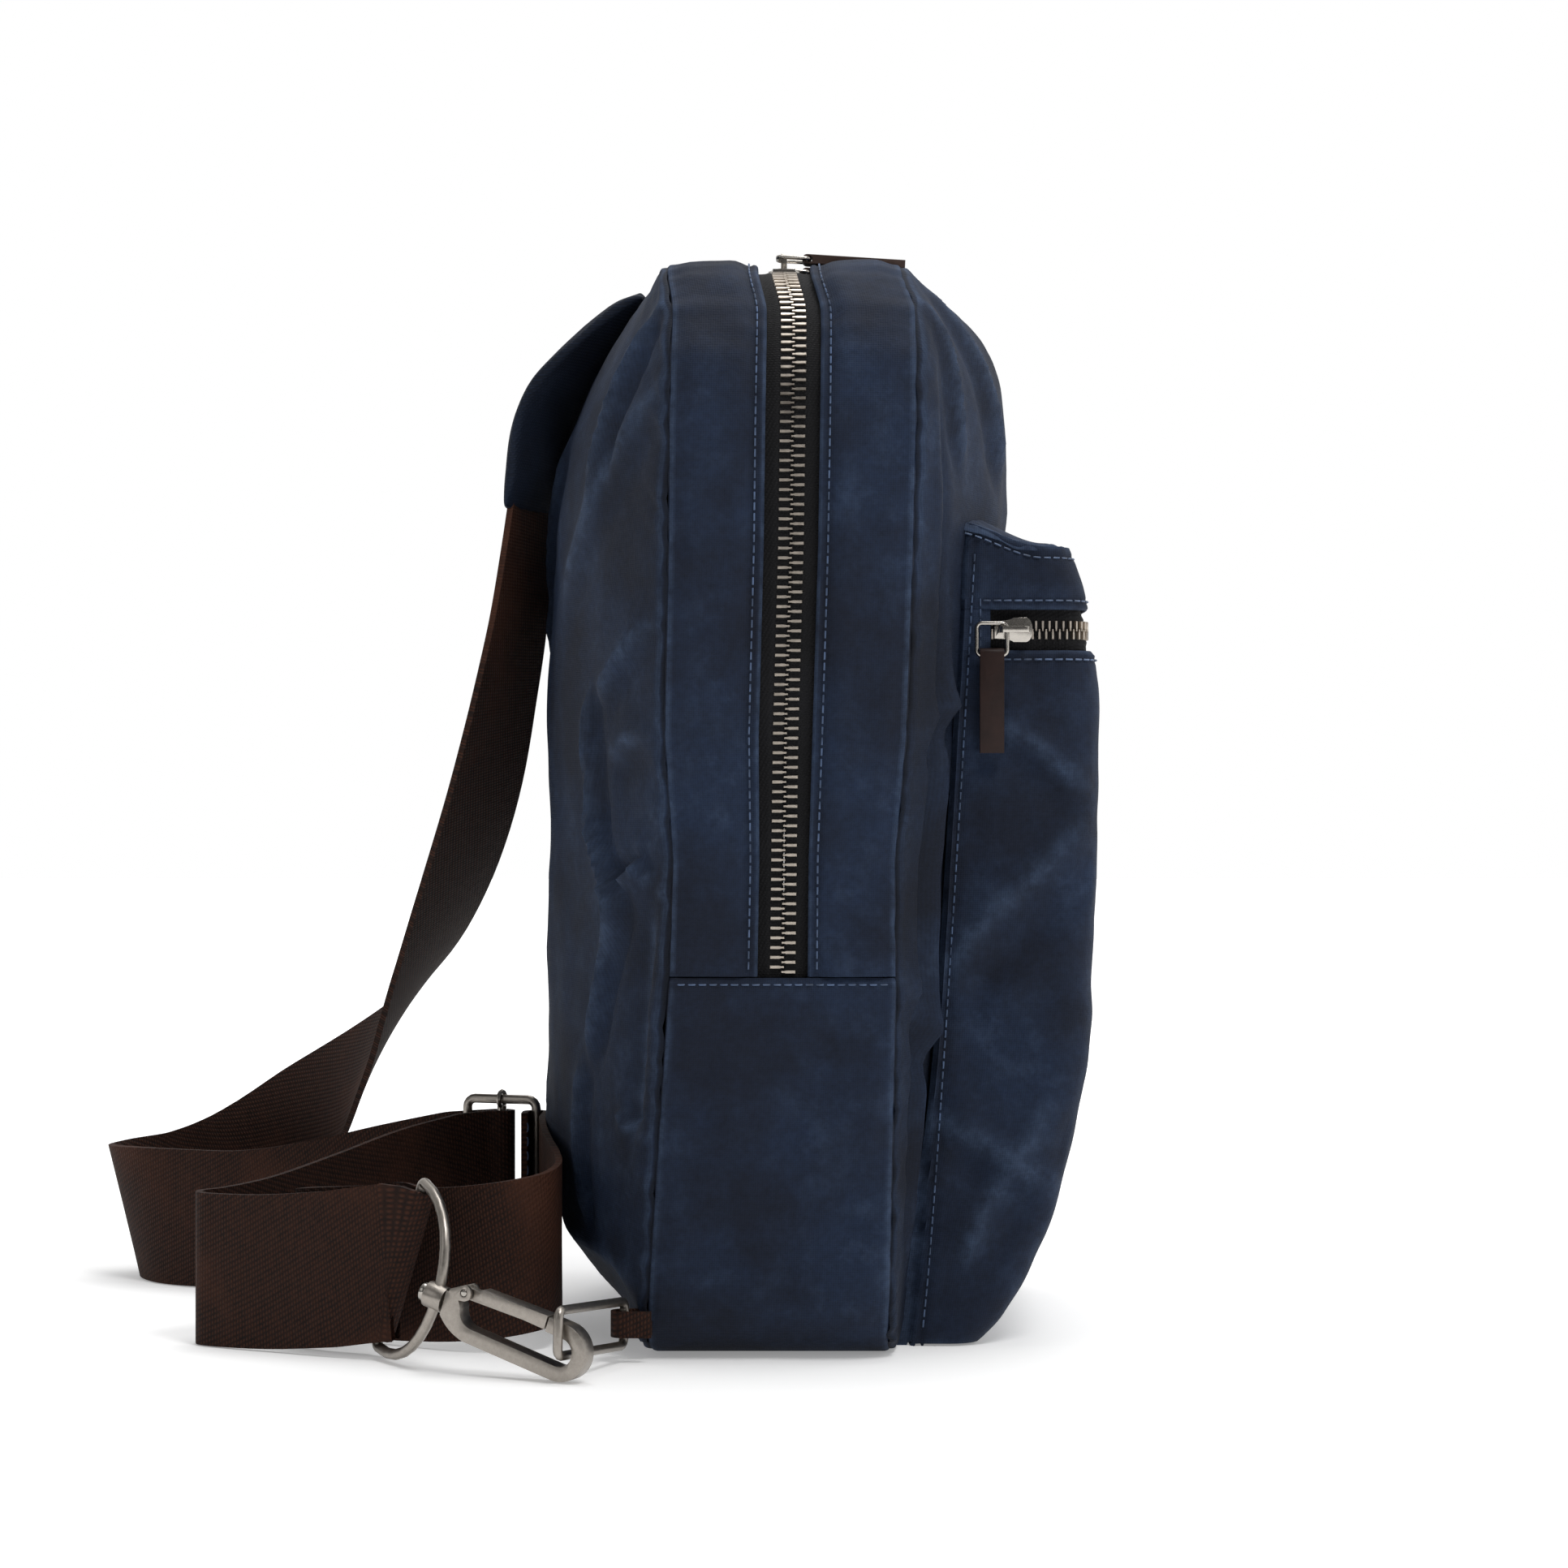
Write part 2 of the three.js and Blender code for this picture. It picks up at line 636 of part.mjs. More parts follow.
const returnRoute = [
  [-134, -98.5, 29.6, 0.22, -0.08, 0.97],
  [-150, -90, 28, 0.12, -0.04, 0.99],
  [-160, -80, 26.5, 0.04, 0, 1],
  [-156, -70, 26, 0, 0, 1],
  [-142, -71, 26.3, 0, 0, 1],
  [-124, -82, 27, 0, 0, 1],
  [-106, -93, 28.5, 0, 0, 1],
  [-91, -97, 30.5, 0, 0, 1],
  [-79, -91.5, 32.5, 0, 0, 1],
  [-74.5, -78, 34.5, 0, 0, 1],
  [-76, -61, 37, 0, 0, 1],
  [-79.5, -43, 39.5, 0, 0, 1],
  [-82.5, -24, 42, 0, 0, 1],
  [-84.3, -4, 43.6, 0, 0, 1],
];

const upward = new THREE.Vector3(0, 0, 1);
const adjusterAlong = new THREE.Vector3(0.936, -0.352, 0).normalize();
const adjusterBack = new THREE.Vector3().crossVectors(upward, adjusterAlong);
const dRingBar = new THREE.Vector3(0.28, -0.1, 0.955).normalize();
const dRingOut = orthogonal(new THREE.Vector3(0.47, -0.86, -0.21), dRingBar);

function orthogonal(vector, to) {
  return vector.clone().addScaledVector(to, -vector.dot(to)).normalize();
}

function webbingStations() {
  const barTurn = adjusterWire / 2 + webbingSlack + webbingThickness / 2;
  const dRingTurn = dRingWire / 2 + webbingSlack + webbingThickness / 2;
  const arrival = orthogonal(new THREE.Vector3(0.89, -0.45, 0), dRingBar);
  const away = new THREE.Vector3().crossVectors(dRingBar, arrival);
  const sewnBar = adjusterCentre.clone().addScaledVector(adjusterAlong, (adjusterLength - adjusterWire) / 2);
  const right = new THREE.Vector3(1, 0, 0);
  const beyond = new THREE.Vector3(0, 1, 0);
  const sewnEnd = sewnBar.clone().addScaledVector(right, -barTurn).addScaledVector(beyond, -9);
  return [
    ...smoothStations(hangingRoute, 2),
    ...halfTurn(adjusterCentre, upward, adjusterBack, adjusterAlong, barTurn),
    ...smoothStations(innerRoute, 2),
    ...halfTurn(dRingCentre, dRingBar, away.clone().negate(), arrival, dRingTurn),
    ...smoothStations(returnRoute, 2),
    ...halfTurn(sewnBar, upward, right, beyond, barTurn),
    [sewnEnd, upward],
  ];
}

function addStrap() {
  add('strap_webbing', band(webbingStations(), webbingWidth, webbingThickness), webbingFinish);
  const pad = smoothStations(padRoute, 2);
  const coverOffset = (padFoamThickness + padCoverThickness) / 2 + padLayerGap;
  add('pad_foam', band(pad, padWidth - 6, padFoamThickness), foamFinish);
  add('pad_cover_outer', band(pad, padWidth, padCoverThickness, coverOffset), canvasFinish);
  add('pad_cover_inner', band(pad, padWidth, padCoverThickness, -coverOffset), canvasFinish);
}

// ---- hardware -----------------------------------------------------------
function addAdjuster() {
  const outline = roundedRectangle(adjusterLength - adjusterWire, adjusterHeight - adjusterWire, 3);
  const frame = wireRing(outline, adjusterWire, 2, 12);
  const put = (geometry) => place(
    geometry,
    adjusterCentre,
    adjusterAlong,
    upward,
    adjusterBack.clone().negate(),
  );
  add('adjuster_frame', put(frame), satinNickelFinish);
  const railHeight = (adjusterHeight - adjusterWire) / 2;
  const eyeRadius = (adjusterWire + adjusterEyeWire) / 2 + hardwareClearance;
  const rod = new THREE.CylinderGeometry(
    adjusterWire / 2,
    adjusterWire / 2,
    2 * (railHeight - adjusterWire / 2 - hardwareClearance - 0.4),
    12,
  );
  const eye = (side) => new THREE.TorusGeometry(eyeRadius, adjusterEyeWire / 2, 6, 12)
    .rotateY(Math.PI / 2)
    .translate(0, side * railHeight, 0);
  add('adjuster_bar', put(union(rod, eye(1), eye(-1))), satinNickelFinish);
}

function dOutline() {
  const half = (dRingHeight - dRingWire) / 2;
  const corner = dRingCorner;
  const path = new THREE.Path();
  path.moveTo(0, 0);
  path.lineTo(-half + corner, 0);
  path.quadraticCurveTo(-half, 0, -half, corner);
  path.bezierCurveTo(-half, dRingDepth * 0.7, -half * 0.5, dRingDepth, 0, dRingDepth);
  path.bezierCurveTo(half * 0.5, dRingDepth, half, dRingDepth * 0.7, half, corner);
  path.quadraticCurveTo(half, 0, half - corner, 0);
  path.lineTo(0, 0);
  return path;
}

const swivelCentre = dRingCentre.clone().addScaledVector(dRingOut, dRingDepth);
const hookAlong = new THREE.Vector3(0.8635, -0.4033, -0.3035).normalize();
const hookUp = orthogonal(upward, hookAlong);
const hookSide = new THREE.Vector3().crossVectors(hookUp, hookAlong);

// The hook's frame: X along the hook from the swivel, Y in its plane, Z through its thickness.
function onHook(geometry) {
  return place(geometry, swivelCentre, hookAlong, hookUp, hookSide.clone().negate());
}

function alongHook(radius, from, to, segments = 14) {
  const rod = new THREE.CylinderGeometry(radius, radius, to - from, segments);
  return rod.rotateZ(Math.PI / 2).translate((from + to) / 2, 0, 0);
}

function addDRing() {
  const ring = wireRing(dOutline(), dRingWire, 8, 12);
  place(ring, dRingCentre, dRingBar, dRingOut, new THREE.Vector3().crossVectors(dRingBar, dRingOut));
  const hub = onHook(alongHook(hubRadius, -hubLength / 2, hubLength / 2));
  const hole = onHook(alongHook(stemRadius + hardwareClearance, -hubLength, hubLength));
  add('d_ring', subtract(union(ring, hub), hole), satinNickelFinish);
}

function addSwivelRivet() {
  const hubEnd = hubLength / 2 + hardwareClearance;
  const head = alongHook(rivetHeadRadius, -hubEnd - rivetHeadThickness, -hubEnd);
  const stem = alongHook(stemRadius, -hubEnd - rivetHeadThickness / 2, hubEnd);
  add('swivel_rivet', onHook(union(head, stem)), nickelFinish);
}

const hookStart = hubLength / 2 + 2 * hardwareClearance;
const gatePivotHeight = hookBendRadius - 1.4;

function hookBody() {
  const bend = hookBendRadius;
  const half = hookBar / 2;
  const shape = new THREE.Shape();
  shape.moveTo(hookStart, -4);
  shape.quadraticCurveTo(hookStart + 4, -bend - half * 0.6, hookStart + 10, -bend - half);
  shape.lineTo(hookReach, -bend - half);
  shape.absarc(hookReach, 0, bend + half, -Math.PI / 2, Math.PI / 2, false);
  shape.lineTo(noseEnd, bend + half);
  shape.lineTo(noseEnd, bend - half);
  shape.lineTo(hookReach, bend - half);
  shape.absarc(hookReach, 0, bend - half, Math.PI / 2, -Math.PI / 2, true);
  shape.lineTo(gatePivotReach + 6, -bend + half);
  shape.quadraticCurveTo(gatePivotReach + 1, -bend + half, gatePivotReach, 1);
  shape.lineTo(gatePivotReach - gateBar / 2 - 2 * hardwareClearance, gatePivotHeight - 1);
  shape.lineTo(hookStart, 4);
  const block = extrude(shape, hookThickness, 10).translate(0, 0, -hookThickness / 2);
  const lug = new THREE.Shape();
  const lugRadius = gateBar / 2 + 0.8;
  lug.moveTo(hookStart + 1, 2);
  lug.lineTo(gatePivotReach, gatePivotHeight - lugRadius);
  lug.absarc(gatePivotReach, gatePivotHeight, lugRadius, -Math.PI / 2, Math.PI / 2, false);
  lug.lineTo(hookStart + 1, 5);
  const lugThickness = 1.2;
  const outer = hookThickness / 2;
  const lugs = [outer - lugThickness, -outer].map((z) => extrude(lug, lugThickness, 6).translate(0, 0, z));
  const pinHole = new THREE.CylinderGeometry(
    gatePinRadius + hardwareClearance / 2,
    gatePinRadius + hardwareClearance / 2,
    2 * hookThickness,
    12,
  );
  pinHole.rotateX(Math.PI / 2).translate(gatePivotReach, gatePivotHeight, 0);
  return subtract(union(block, ...lugs), pinHole);
}

function gate() {
  const wide = hookThickness - 2 * 1.2 - 2 * hardwareClearance;
  const half = gateBar / 2;
  const bar = new THREE.Shape();
  bar.moveTo(gateEnd, hookBendRadius - half);
  bar.lineTo(gateEnd, hookBendRadius + half);
  bar.lineTo(gatePivotReach, gatePivotHeight + half);
  bar.absarc(gatePivotReach, gatePivotHeight, half, Math.PI / 2, Math.PI * 1.5, false);
  const core = extrude(bar, wide, 6).translate(0, 0, -wide / 2);
  const cap = new THREE.Shape();
  const capStart = gatePivotReach + gateBar + 2;
  cap.moveTo(gateEnd, hookBendRadius + half + 0.8);
  cap.lineTo(capStart, hookBendRadius + half * 0.9);
  cap.lineTo(capStart, hookBendRadius - half * 0.8);
  cap.lineTo(gateEnd, hookBendRadius - half);
  const cover = extrude(cap, hookThickness, 6).translate(0, 0, -hookThickness / 2);
  const hole = new THREE.CylinderGeometry(
    gatePinRadius + hardwareClearance,
    gatePinRadius + hardwareClearance,
    2 * hookThickness,
    12,
  );
  hole.rotateX(Math.PI / 2).translate(gatePivotReach, gatePivotHeight, 0);
  return subtract(union(core, cover), hole);
}

function addHook() {
  add('hook_body', onHook(hookBody()), satinNickelFinish);
  add('hook_gate', onHook(gate()), satinNickelFinish);
  const pin = new THREE.CylinderGeometry(gatePinRadius, gatePinRadius, hookThickness, 12);
  pin.rotateX(Math.PI / 2).translate(gatePivotReach, gatePivotHeight, 0);
  add('gate_pin', onHook(pin), nickelFinish);
}

function addCornerRing() {
  const eyeReach = hookReach - 1;
  const crossing = swivelCentre.clone().addScaledVector(hookAlong, eyeReach);
  crossing.addScaledVector(hookUp, -1.5 + ringWidth / 2 / hookUp.z);
  const direction = crossing.clone().sub(tabHinge).normalize();
  const up = orthogonal(upward, direction);
  const ring = wireRing(roundedRectangle(ringLength, ringWidth, ringCornerRadius), ringWire, 2, 12);
  const centre = tabHinge.clone().addScaledVector(direction, ringLength / 2);
  place(ring, centre, direction, up, new THREE.Vector3().crossVectors(direction, up));
  add('corner_ring', ring, satinNickelFinish);
}

function addCornerTab() {
  const inner = ringWire / 2 + tabSlack;
  const outer = inner + tabThickness;
  const loop = new THREE.Shape();
  loop.moveTo(tabStart, tabHinge.y - outer);
  loop.lineTo(tabStart, tabHinge.y - inner);
  loop.lineTo(tabHinge.x, tabHinge.y - inner);
  loop.absarc(tabHinge.x, tabHinge.y, inner, Math.PI * 1.5, Math.PI / 2, true);
  loop.lineTo(tabStart, tabHinge.y + inner);
  loop.lineTo(tabStart, tabHinge.y + outer);
  loop.lineTo(tabHinge.x, tabHinge.y + outer);
  loop.absarc(tabHinge.x, tabHinge.y, outer, Math.PI / 2, Math.PI * 1.5, false);
  const tab = extrude(loop, tabHeight, 6).translate(0, 0, tabHinge.z - tabHeight / 2);
  add('corner_tab', tab, webbingFinish);
}

addBody();
addGusset();
addMainZip();
addPocket();
addSliders();
addStrap();
addAdjuster();
addDRing();
addSwivelRivet();
addHook();
addCornerRing();
addCornerTab();

export default group;
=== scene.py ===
import math

import bpy
from bpy.props import FloatProperty, FloatVectorProperty, PointerProperty
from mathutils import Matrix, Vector, noise


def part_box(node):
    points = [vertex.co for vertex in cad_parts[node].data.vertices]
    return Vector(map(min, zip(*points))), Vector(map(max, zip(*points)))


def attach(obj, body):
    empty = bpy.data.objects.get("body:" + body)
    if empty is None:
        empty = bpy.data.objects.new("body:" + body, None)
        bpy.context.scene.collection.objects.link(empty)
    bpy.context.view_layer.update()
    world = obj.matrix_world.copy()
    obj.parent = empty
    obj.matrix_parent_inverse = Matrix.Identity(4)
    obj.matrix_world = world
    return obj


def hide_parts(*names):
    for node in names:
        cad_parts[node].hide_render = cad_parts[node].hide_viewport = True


bl_info = {
    "name": "Crossbody canvas bag",
    "version": (1, 0, 0),
    "blender": (4, 5, 0),
    "location": "View3D > Sidebar > Bag",
    "description": "Builds a waxed canvas crossbody bag with its zips, strap and hardware",
    "category": "Object",
}

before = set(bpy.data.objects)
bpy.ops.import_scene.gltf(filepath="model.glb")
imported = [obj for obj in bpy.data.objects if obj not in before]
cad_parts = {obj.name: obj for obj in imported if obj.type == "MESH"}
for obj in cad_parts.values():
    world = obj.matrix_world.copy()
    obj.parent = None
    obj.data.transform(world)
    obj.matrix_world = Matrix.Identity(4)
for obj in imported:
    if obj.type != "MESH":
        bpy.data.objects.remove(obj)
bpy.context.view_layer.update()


def size_of(node):
    low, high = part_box(node)
    return high - low


# ---------------------------------------------------------------- sizes from the frame
GUSSET_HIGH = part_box("gusset_lower")[1]
STRIP_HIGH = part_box("gusset_zip_strip_front")[1]
SEAM_TUCK = 0.0011
HALF_GUSSET = GUSSET_HIGH.x + SEAM_TUCK
HALF_WIDTH = GUSSET_HIGH.y
HEIGHT = STRIP_HIGH.z
SEAM_HEIGHT = (GUSSET_HIGH.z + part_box("gusset_zip_strip_front")[0].z) / 2
HALF_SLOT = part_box("gusset_zip_strip_front")[0].x
BACK_FACE = -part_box("back_panel")[1].x
CANVAS = 0.002
PANEL_EDGE = BACK_FACE + CANVAS
BACK_BULGE = -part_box("back_panel")[0].x - PANEL_EDGE
FRONT_BULGE = 0.037
FRONT_BULGE_FULL_AT = 0.28
TOP_RADIUS = 0.056
BOTTOM_RADIUS = 0.03
POCKET_LOW, POCKET_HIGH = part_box("pocket_shell")
POCKET_CHAIN_LOW, POCKET_CHAIN_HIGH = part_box("pocket_zip_chain")
POCKET_ZIP_HEIGHT = (POCKET_CHAIN_LOW.z + POCKET_CHAIN_HIGH.z) / 2
POCKET_SLOT = 0.0133
POCKET_SLOT_START = POCKET_CHAIN_LOW.x - 0.0006
POCKET_WIDEST_AT = 0.2
POCKET_FOOT_PULL = 0.038
POCKET_SHOULDER_PULL = 0.014
POCKET_RADIUS = 0.012
POCKET_BACK_GAP = 0.0015
CHAIN_RECESS = 0.0012
WEBBING_THICKNESS = 0.0022
ADJUSTER_WIRE = 0.0033
D_RING_WIRE = 0.0035
WEBBING_SLACK = 0.0009
UP = Vector((0, 0, 1))


class BagSizes(bpy.types.PropertyGroup):
    """Sizes of the sewing and the strap that can be changed."""

    stitch_length: FloatProperty(
        name="Stitch length", description="Length of one visible stitch",
        default=0.0024, min=0.001, unit="LENGTH",
    )
    stitch_pitch: FloatProperty(
        name="Stitch pitch", description="Distance from one stitch to the next",
        default=0.0034, min=0.0015, unit="LENGTH",
    )
    main_tooth_pitch: FloatProperty(
        name="Main tooth pitch", description="Distance between teeth on one side of the main zip",
        default=0.0031, min=0.001, unit="LENGTH",
    )
    pocket_tooth_pitch: FloatProperty(
        name="Pocket tooth pitch", description="Distance between teeth on one side of the pocket zip",
        default=0.0022, min=0.001, unit="LENGTH",
    )
    webbing_width: FloatProperty(
        name="Webbing width", description="Width of the strap's webbing",
        default=0.05, min=0.02, unit="LENGTH",
    )
    pad_width: FloatProperty(
        name="Pad width", description="Width of the shoulder pad",
        default=0.06, min=0.03, unit="LENGTH",
    )
    pad_thickness: FloatProperty(
        name="Pad thickness", description="Thickness of the shoulder pad",
        default=0.0082, min=0.004, unit="LENGTH",
    )
    fold_depth: FloatProperty(
        name="Fold depth", description="How deep the canvas folds are",
        default=1.3, min=0.0, max=2.0,
    )


def srgb(code):
    """The linear colour of an sRGB hex value."""
    values = [int(code[i : i + 2], 16) / 255 for i in (1, 3, 5)]
    return [v / 12.92 if v <= 0.04045 else ((v + 0.055) / 1.055) ** 2.4 for v in values]


def colour(name, code, description):
    return FloatVectorProperty(
        name=name, description=description, subtype="COLOR", default=srgb(code), min=0, max=1
    )


class BagColours(bpy.types.PropertyGroup):
    """Colours of the cloth, leather, thread and metal."""

    canvas: colour("Canvas", "#19253A", "Waxed canvas where the wax lies even")
    canvas_dark: colour("Canvas shade", "#121928", "Waxed canvas where the wax is thick")
    canvas_worn: colour("Canvas wear", "#3B4A62", "Waxed canvas where it is rubbed and creased")
    thread: colour("Thread", "#55698A", "Sewing thread")
    tape: colour("Zip tape", "#101013", "Woven zip tape")
    webbing: colour("Webbing", "#3E2317", "Strap webbing")
    webbing_dark: colour("Webbing shade", "#0D0605", "Between the ribs of the webbing")
    leather: colour("Leather", "#241512", "Smooth side of the pulls")
    leather_edge: colour("Leather edge", "#43332D", "Cut and waxed edge of the pulls")
    nickel: colour("Nickel", "#B4AFA8", "Bright nickel plate")
    satin_nickel: colour("Satin nickel", "#A8A199", "Brushed nickel plate")
    tooth_metal: colour("Teeth", "#C6BCB0", "Zip teeth")


# ---------------------------------------------------------------- small tools
def sizes():
    return bpy.context.scene.bag_sizes


def colours():
    return bpy.context.scene.bag_colours


def clear_selection():
    if bpy.context.object and bpy.context.object.mode != "OBJECT":
        bpy.ops.object.mode_set(mode="OBJECT")
    for item in bpy.context.selected_objects:
        item.select_set(False)


def pick(item):
    clear_selection()
    item.select_set(True)
    bpy.context.view_layer.objects.active = item
    return item


def smooth(item, degrees=40):
    pick(item)
    bpy.ops.object.shade_smooth_by_angle(angle=math.radians(degrees))
    return item


def apply_modifier(item, kind, **settings):
    pick(item)
    modifier = item.modifiers.new(kind.title(), kind)
    for key, value in settings.items():
        setattr(modifier, key, value)
    bpy.ops.object.modifier_apply(modifier=modifier.name)
    return item


def mesh_object(name, points, faces, uvs=None, wear=None):
    """A new object; uvs holds one pair per point and wear one number per point: above zero pale wear, below
    zero painted shade.
    """
    mesh = bpy.data.meshes.new(name)
    mesh.from_pydata([tuple(p) for p in points], [], faces)
    mesh.update()
    if uvs:
        layer = mesh.uv_layers.new(name="cloth")
        for loop in mesh.loops:
            layer.data[loop.index].uv = uvs[loop.vertex_index]
    if wear:
        field = mesh.attributes.new("wear", "FLOAT", "POINT")
        field.data.foreach_set("value", wear)
    item = bpy.data.objects.new(name.replace(" ", "_"), mesh)
    bpy.context.scene.collection.objects.link(item)
    return item


def grid_faces(rows, columns, close_columns=False):
    wide = columns if close_columns else columns - 1
    return [
        (
            r * columns + c,
            r * columns + (c + 1) % columns,
            (r + 1) * columns + (c + 1) % columns,
            (r + 1) * columns + c,
        )
        for r in range(rows - 1)
        for c in range(wide)
    ]


def face_outwards(item):
    pick(item)
    bpy.ops.object.mode_set(mode="EDIT")
    bpy.ops.mesh.select_all(action="SELECT")
    bpy.ops.mesh.normals_make_consistent(inside=False)
    bpy.ops.object.mode_set(mode="OBJECT")
    return item


def finish_piece(item, material, body, slot, *replaced):
    item.data.materials.clear()
    item.data.materials.append(material)
    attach(item, body)
    if replaced:
        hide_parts(*replaced)
    return item


def grain(place, scale, seed=0.0):
    """Smooth noise from -1 to 1, in bumps about scale metres wide."""
    return noise.noise(Vector(place) / scale + Vector((seed, seed * 1.7, -seed)))


# ---------------------------------------------------------------- materials
def node(tree, kind, inputs=(), **settings):
    """Adds a node, with its settings and its inputs, each a value or a socket to link."""
    made = tree.nodes.new(kind)
    for key, value in settings.items():
        setattr(made, key, value)
    for key, value in dict(inputs).items():
        if isinstance(value, bpy.types.NodeSocket):
            tree.links.new(value, made.inputs[key])
        else:
            made.inputs[key].default_value = value
    return made


def new_material(name, base, **sockets):
    material = bpy.data.materials.new(name)
    material.use_nodes = True
    shader = material.node_tree.nodes["Principled BSDF"]
    shader.inputs["Base Color"].default_value = (*base, 1)
    for key, value in sockets.items():
        shader.inputs[key.replace("_", " ")].default_value = value
    return material, material.node_tree, shader


def mix(tree, share, first, second, blend="MIX"):
    made = node(tree, "ShaderNodeMix", data_type="RGBA", blend_type=blend)
    for socket, value in ((made.inputs[0], share), (made.inputs[6], first), (made.inputs[7], second)):
        if isinstance(value, bpy.types.NodeSocket):
            tree.links.new(value, socket)
        else:
            socket.default_value = value
    return made.outputs[2]


def rgba(value):
    return (*value, 1.0)


def waves(tree, coordinates, pitch, direction):
    """Threads pitch metres apart along one axis of the coordinates; a wave texture has
    20 / (2 pi) bands to a unit at scale 1."""
    scale = 2 * math.pi / (20 * pitch)
    texture = node(
        tree, "ShaderNodeTexWave",
        {"Vector": coordinates, "Scale": scale, "Distortion": 0.0},
        wave_type="BANDS", bands_direction=direction, wave_profile="SIN",
    )
    return texture.outputs["Fac"]


def ramp(tree, value, low, high):
    made = node(tree, "ShaderNodeMapRange", {"Value": value, "From Min": low, "From Max": high})
    made.clamp = True
    return made.outputs[0]


def times(tree, first, second, operation="MULTIPLY"):
    made = node(tree, "ShaderNodeMath", operation=operation)
    for socket, value in ((made.inputs[0], first), (made.inputs[1], second)):
        if isinstance(value, bpy.types.NodeSocket):
            tree.links.new(value, socket)
        else:
            socket.default_value = value
    return made.outputs[0]


def waxed_canvas():
    """Tightly woven cotton rubbed with wax: matt, clouded where the wax is uneven, and
    paler along folds and seams where it is worn. Where the wear attribute is below zero it
    is darkened with painted shade: down seams, in stitch grooves and beside the pocket."""
    c = colours()
    material, tree, shader = new_material(
        "waxed cotton canvas", c.canvas, Roughness=0.78, IOR=1.3
    )
    place = node(tree, "ShaderNodeTexCoord").outputs["Object"]
    cloth = node(tree, "ShaderNodeUVMap", uv_map="cloth").outputs["UV"]
    clouds = node(
        tree, "ShaderNodeTexNoise",
        {"Vector": place, "Scale": 1 / 0.045, "Detail": 5.0, "Roughness": 0.6},
    ).outputs["Fac"]
    streaks = node(
        tree, "ShaderNodeTexNoise",
        {"Vector": place, "Scale": 1 / 0.009, "Detail": 4.0, "Roughness": 0.65},
    ).outputs["Fac"]
    # The wear attribute: above zero it is pale wear, below zero it is painted shade.
    worn = node(tree, "ShaderNodeAttribute", attribute_name="wear").outputs["Fac"]
    specks = node(
        tree, "ShaderNodeTexNoise",
        {"Vector": place, "Scale": 1 / 0.0022, "Detail": 3.0, "Roughness": 0.7},
    ).outputs["Fac"]
    base = mix(tree, ramp(tree, clouds, 0.4, 0.62), rgba(c.canvas_dark), rgba(c.canvas))
    patch = times(tree, ramp(tree, streaks, 0.48, 0.72), ramp(tree, clouds, 0.42, 0.7))
    faded = mix(tree, times(tree, patch, 0.38), base, rgba(c.canvas_worn))
    rubbed = times(tree, ramp(tree, worn, 0.0, 1.0), ramp(tree, streaks, 0.25, 0.6))
    pale = mix(tree, rubbed, faded, rgba(c.canvas_worn))
    # Painted shade: below zero the wear attribute darkens the canvas towards near black. This stands for the
    # shade down seams, in stitch grooves and in the pocket's shadow beside it.
    painted_shade = times(tree, ramp(tree, worn, 0.0, -1.0), 0.7)
    shaded = mix(tree, painted_shade, pale, rgba([v * 0.15 for v in c.canvas_dark]))
    # Threads about 0.7 mm apart.
    warp = waves(tree, cloth, 0.00075, "X")
    weft = waves(tree, cloth, 0.00065, "Y")
    weave = times(tree, times(tree, warp, weft, "ADD"), 0.5)
    grainy = times(tree, times(tree, weave, 0.35), specks, "ADD")
    level = node(
        tree, "ShaderNodeMapRange",
        {"Value": grainy, "From Min": 0.4, "From Max": 0.9, "To Min": 0.72, "To Max": 1.2},
    ).outputs[0]
    tone = node(tree, "ShaderNodeVectorMath", {"Scale": level}, operation="SCALE")
    tree.links.new(shaded, tone.inputs[0])
    tree.links.new(tone.outputs[0], shader.inputs["Base Color"])
    bump = node(tree, "ShaderNodeBump", {"Height": grainy, "Strength": 0.45, "Distance": 0.0005})
    tree.links.new(bump.outputs[0], shader.inputs["Normal"])
    return material


def woven(name, base, dark, along, across, strength, roughness):
    """Ribbed cloth with its threads along and across metres apart, on the cloth UV map."""
    material, tree, shader = new_material(name, base, Roughness=roughness, IOR=1.3)
    cloth = node(tree, "ShaderNodeUVMap", uv_map="cloth").outputs["UV"]
    place = node(tree, "ShaderNodeTexCoord").outputs["Object"]
    twill = node(
        tree, "ShaderNodeMapping", {"Vector": cloth, "Rotation": (0, 0, math.radians(24))}
    ).outputs[0]
    ribs = times(tree, waves(tree, twill, along, "X"), waves(tree, cloth, across, "Y"))
    fuzz = node(
        tree, "ShaderNodeTexNoise", {"Vector": place, "Scale": 1 / 0.0025, "Detail": 3.0}
    ).outputs["Fac"]
    shade = times(tree, times(tree, ribs, 0.75), times(tree, fuzz, 0.5), "ADD")
    blotch = node(
        tree, "ShaderNodeTexNoise", {"Vector": place, "Scale": 1 / 0.05, "Detail": 3.0}
    ).outputs["Fac"]
    body = mix(tree, ramp(tree, shade, 0.1, 0.85), rgba(dark), rgba(base))
    pale = mix(tree, ramp(tree, blotch, 0.5, 0.8), body, rgba([min(1, v * 1.35) for v in base]))
    tree.links.new(pale, shader.inputs["Base Color"])
    bump = node(tree, "ShaderNodeBump", {"Height": shade, "Strength": strength, "Distance": 0.0006})
    tree.links.new(bump.outputs[0], shader.inputs["Normal"])
    return material


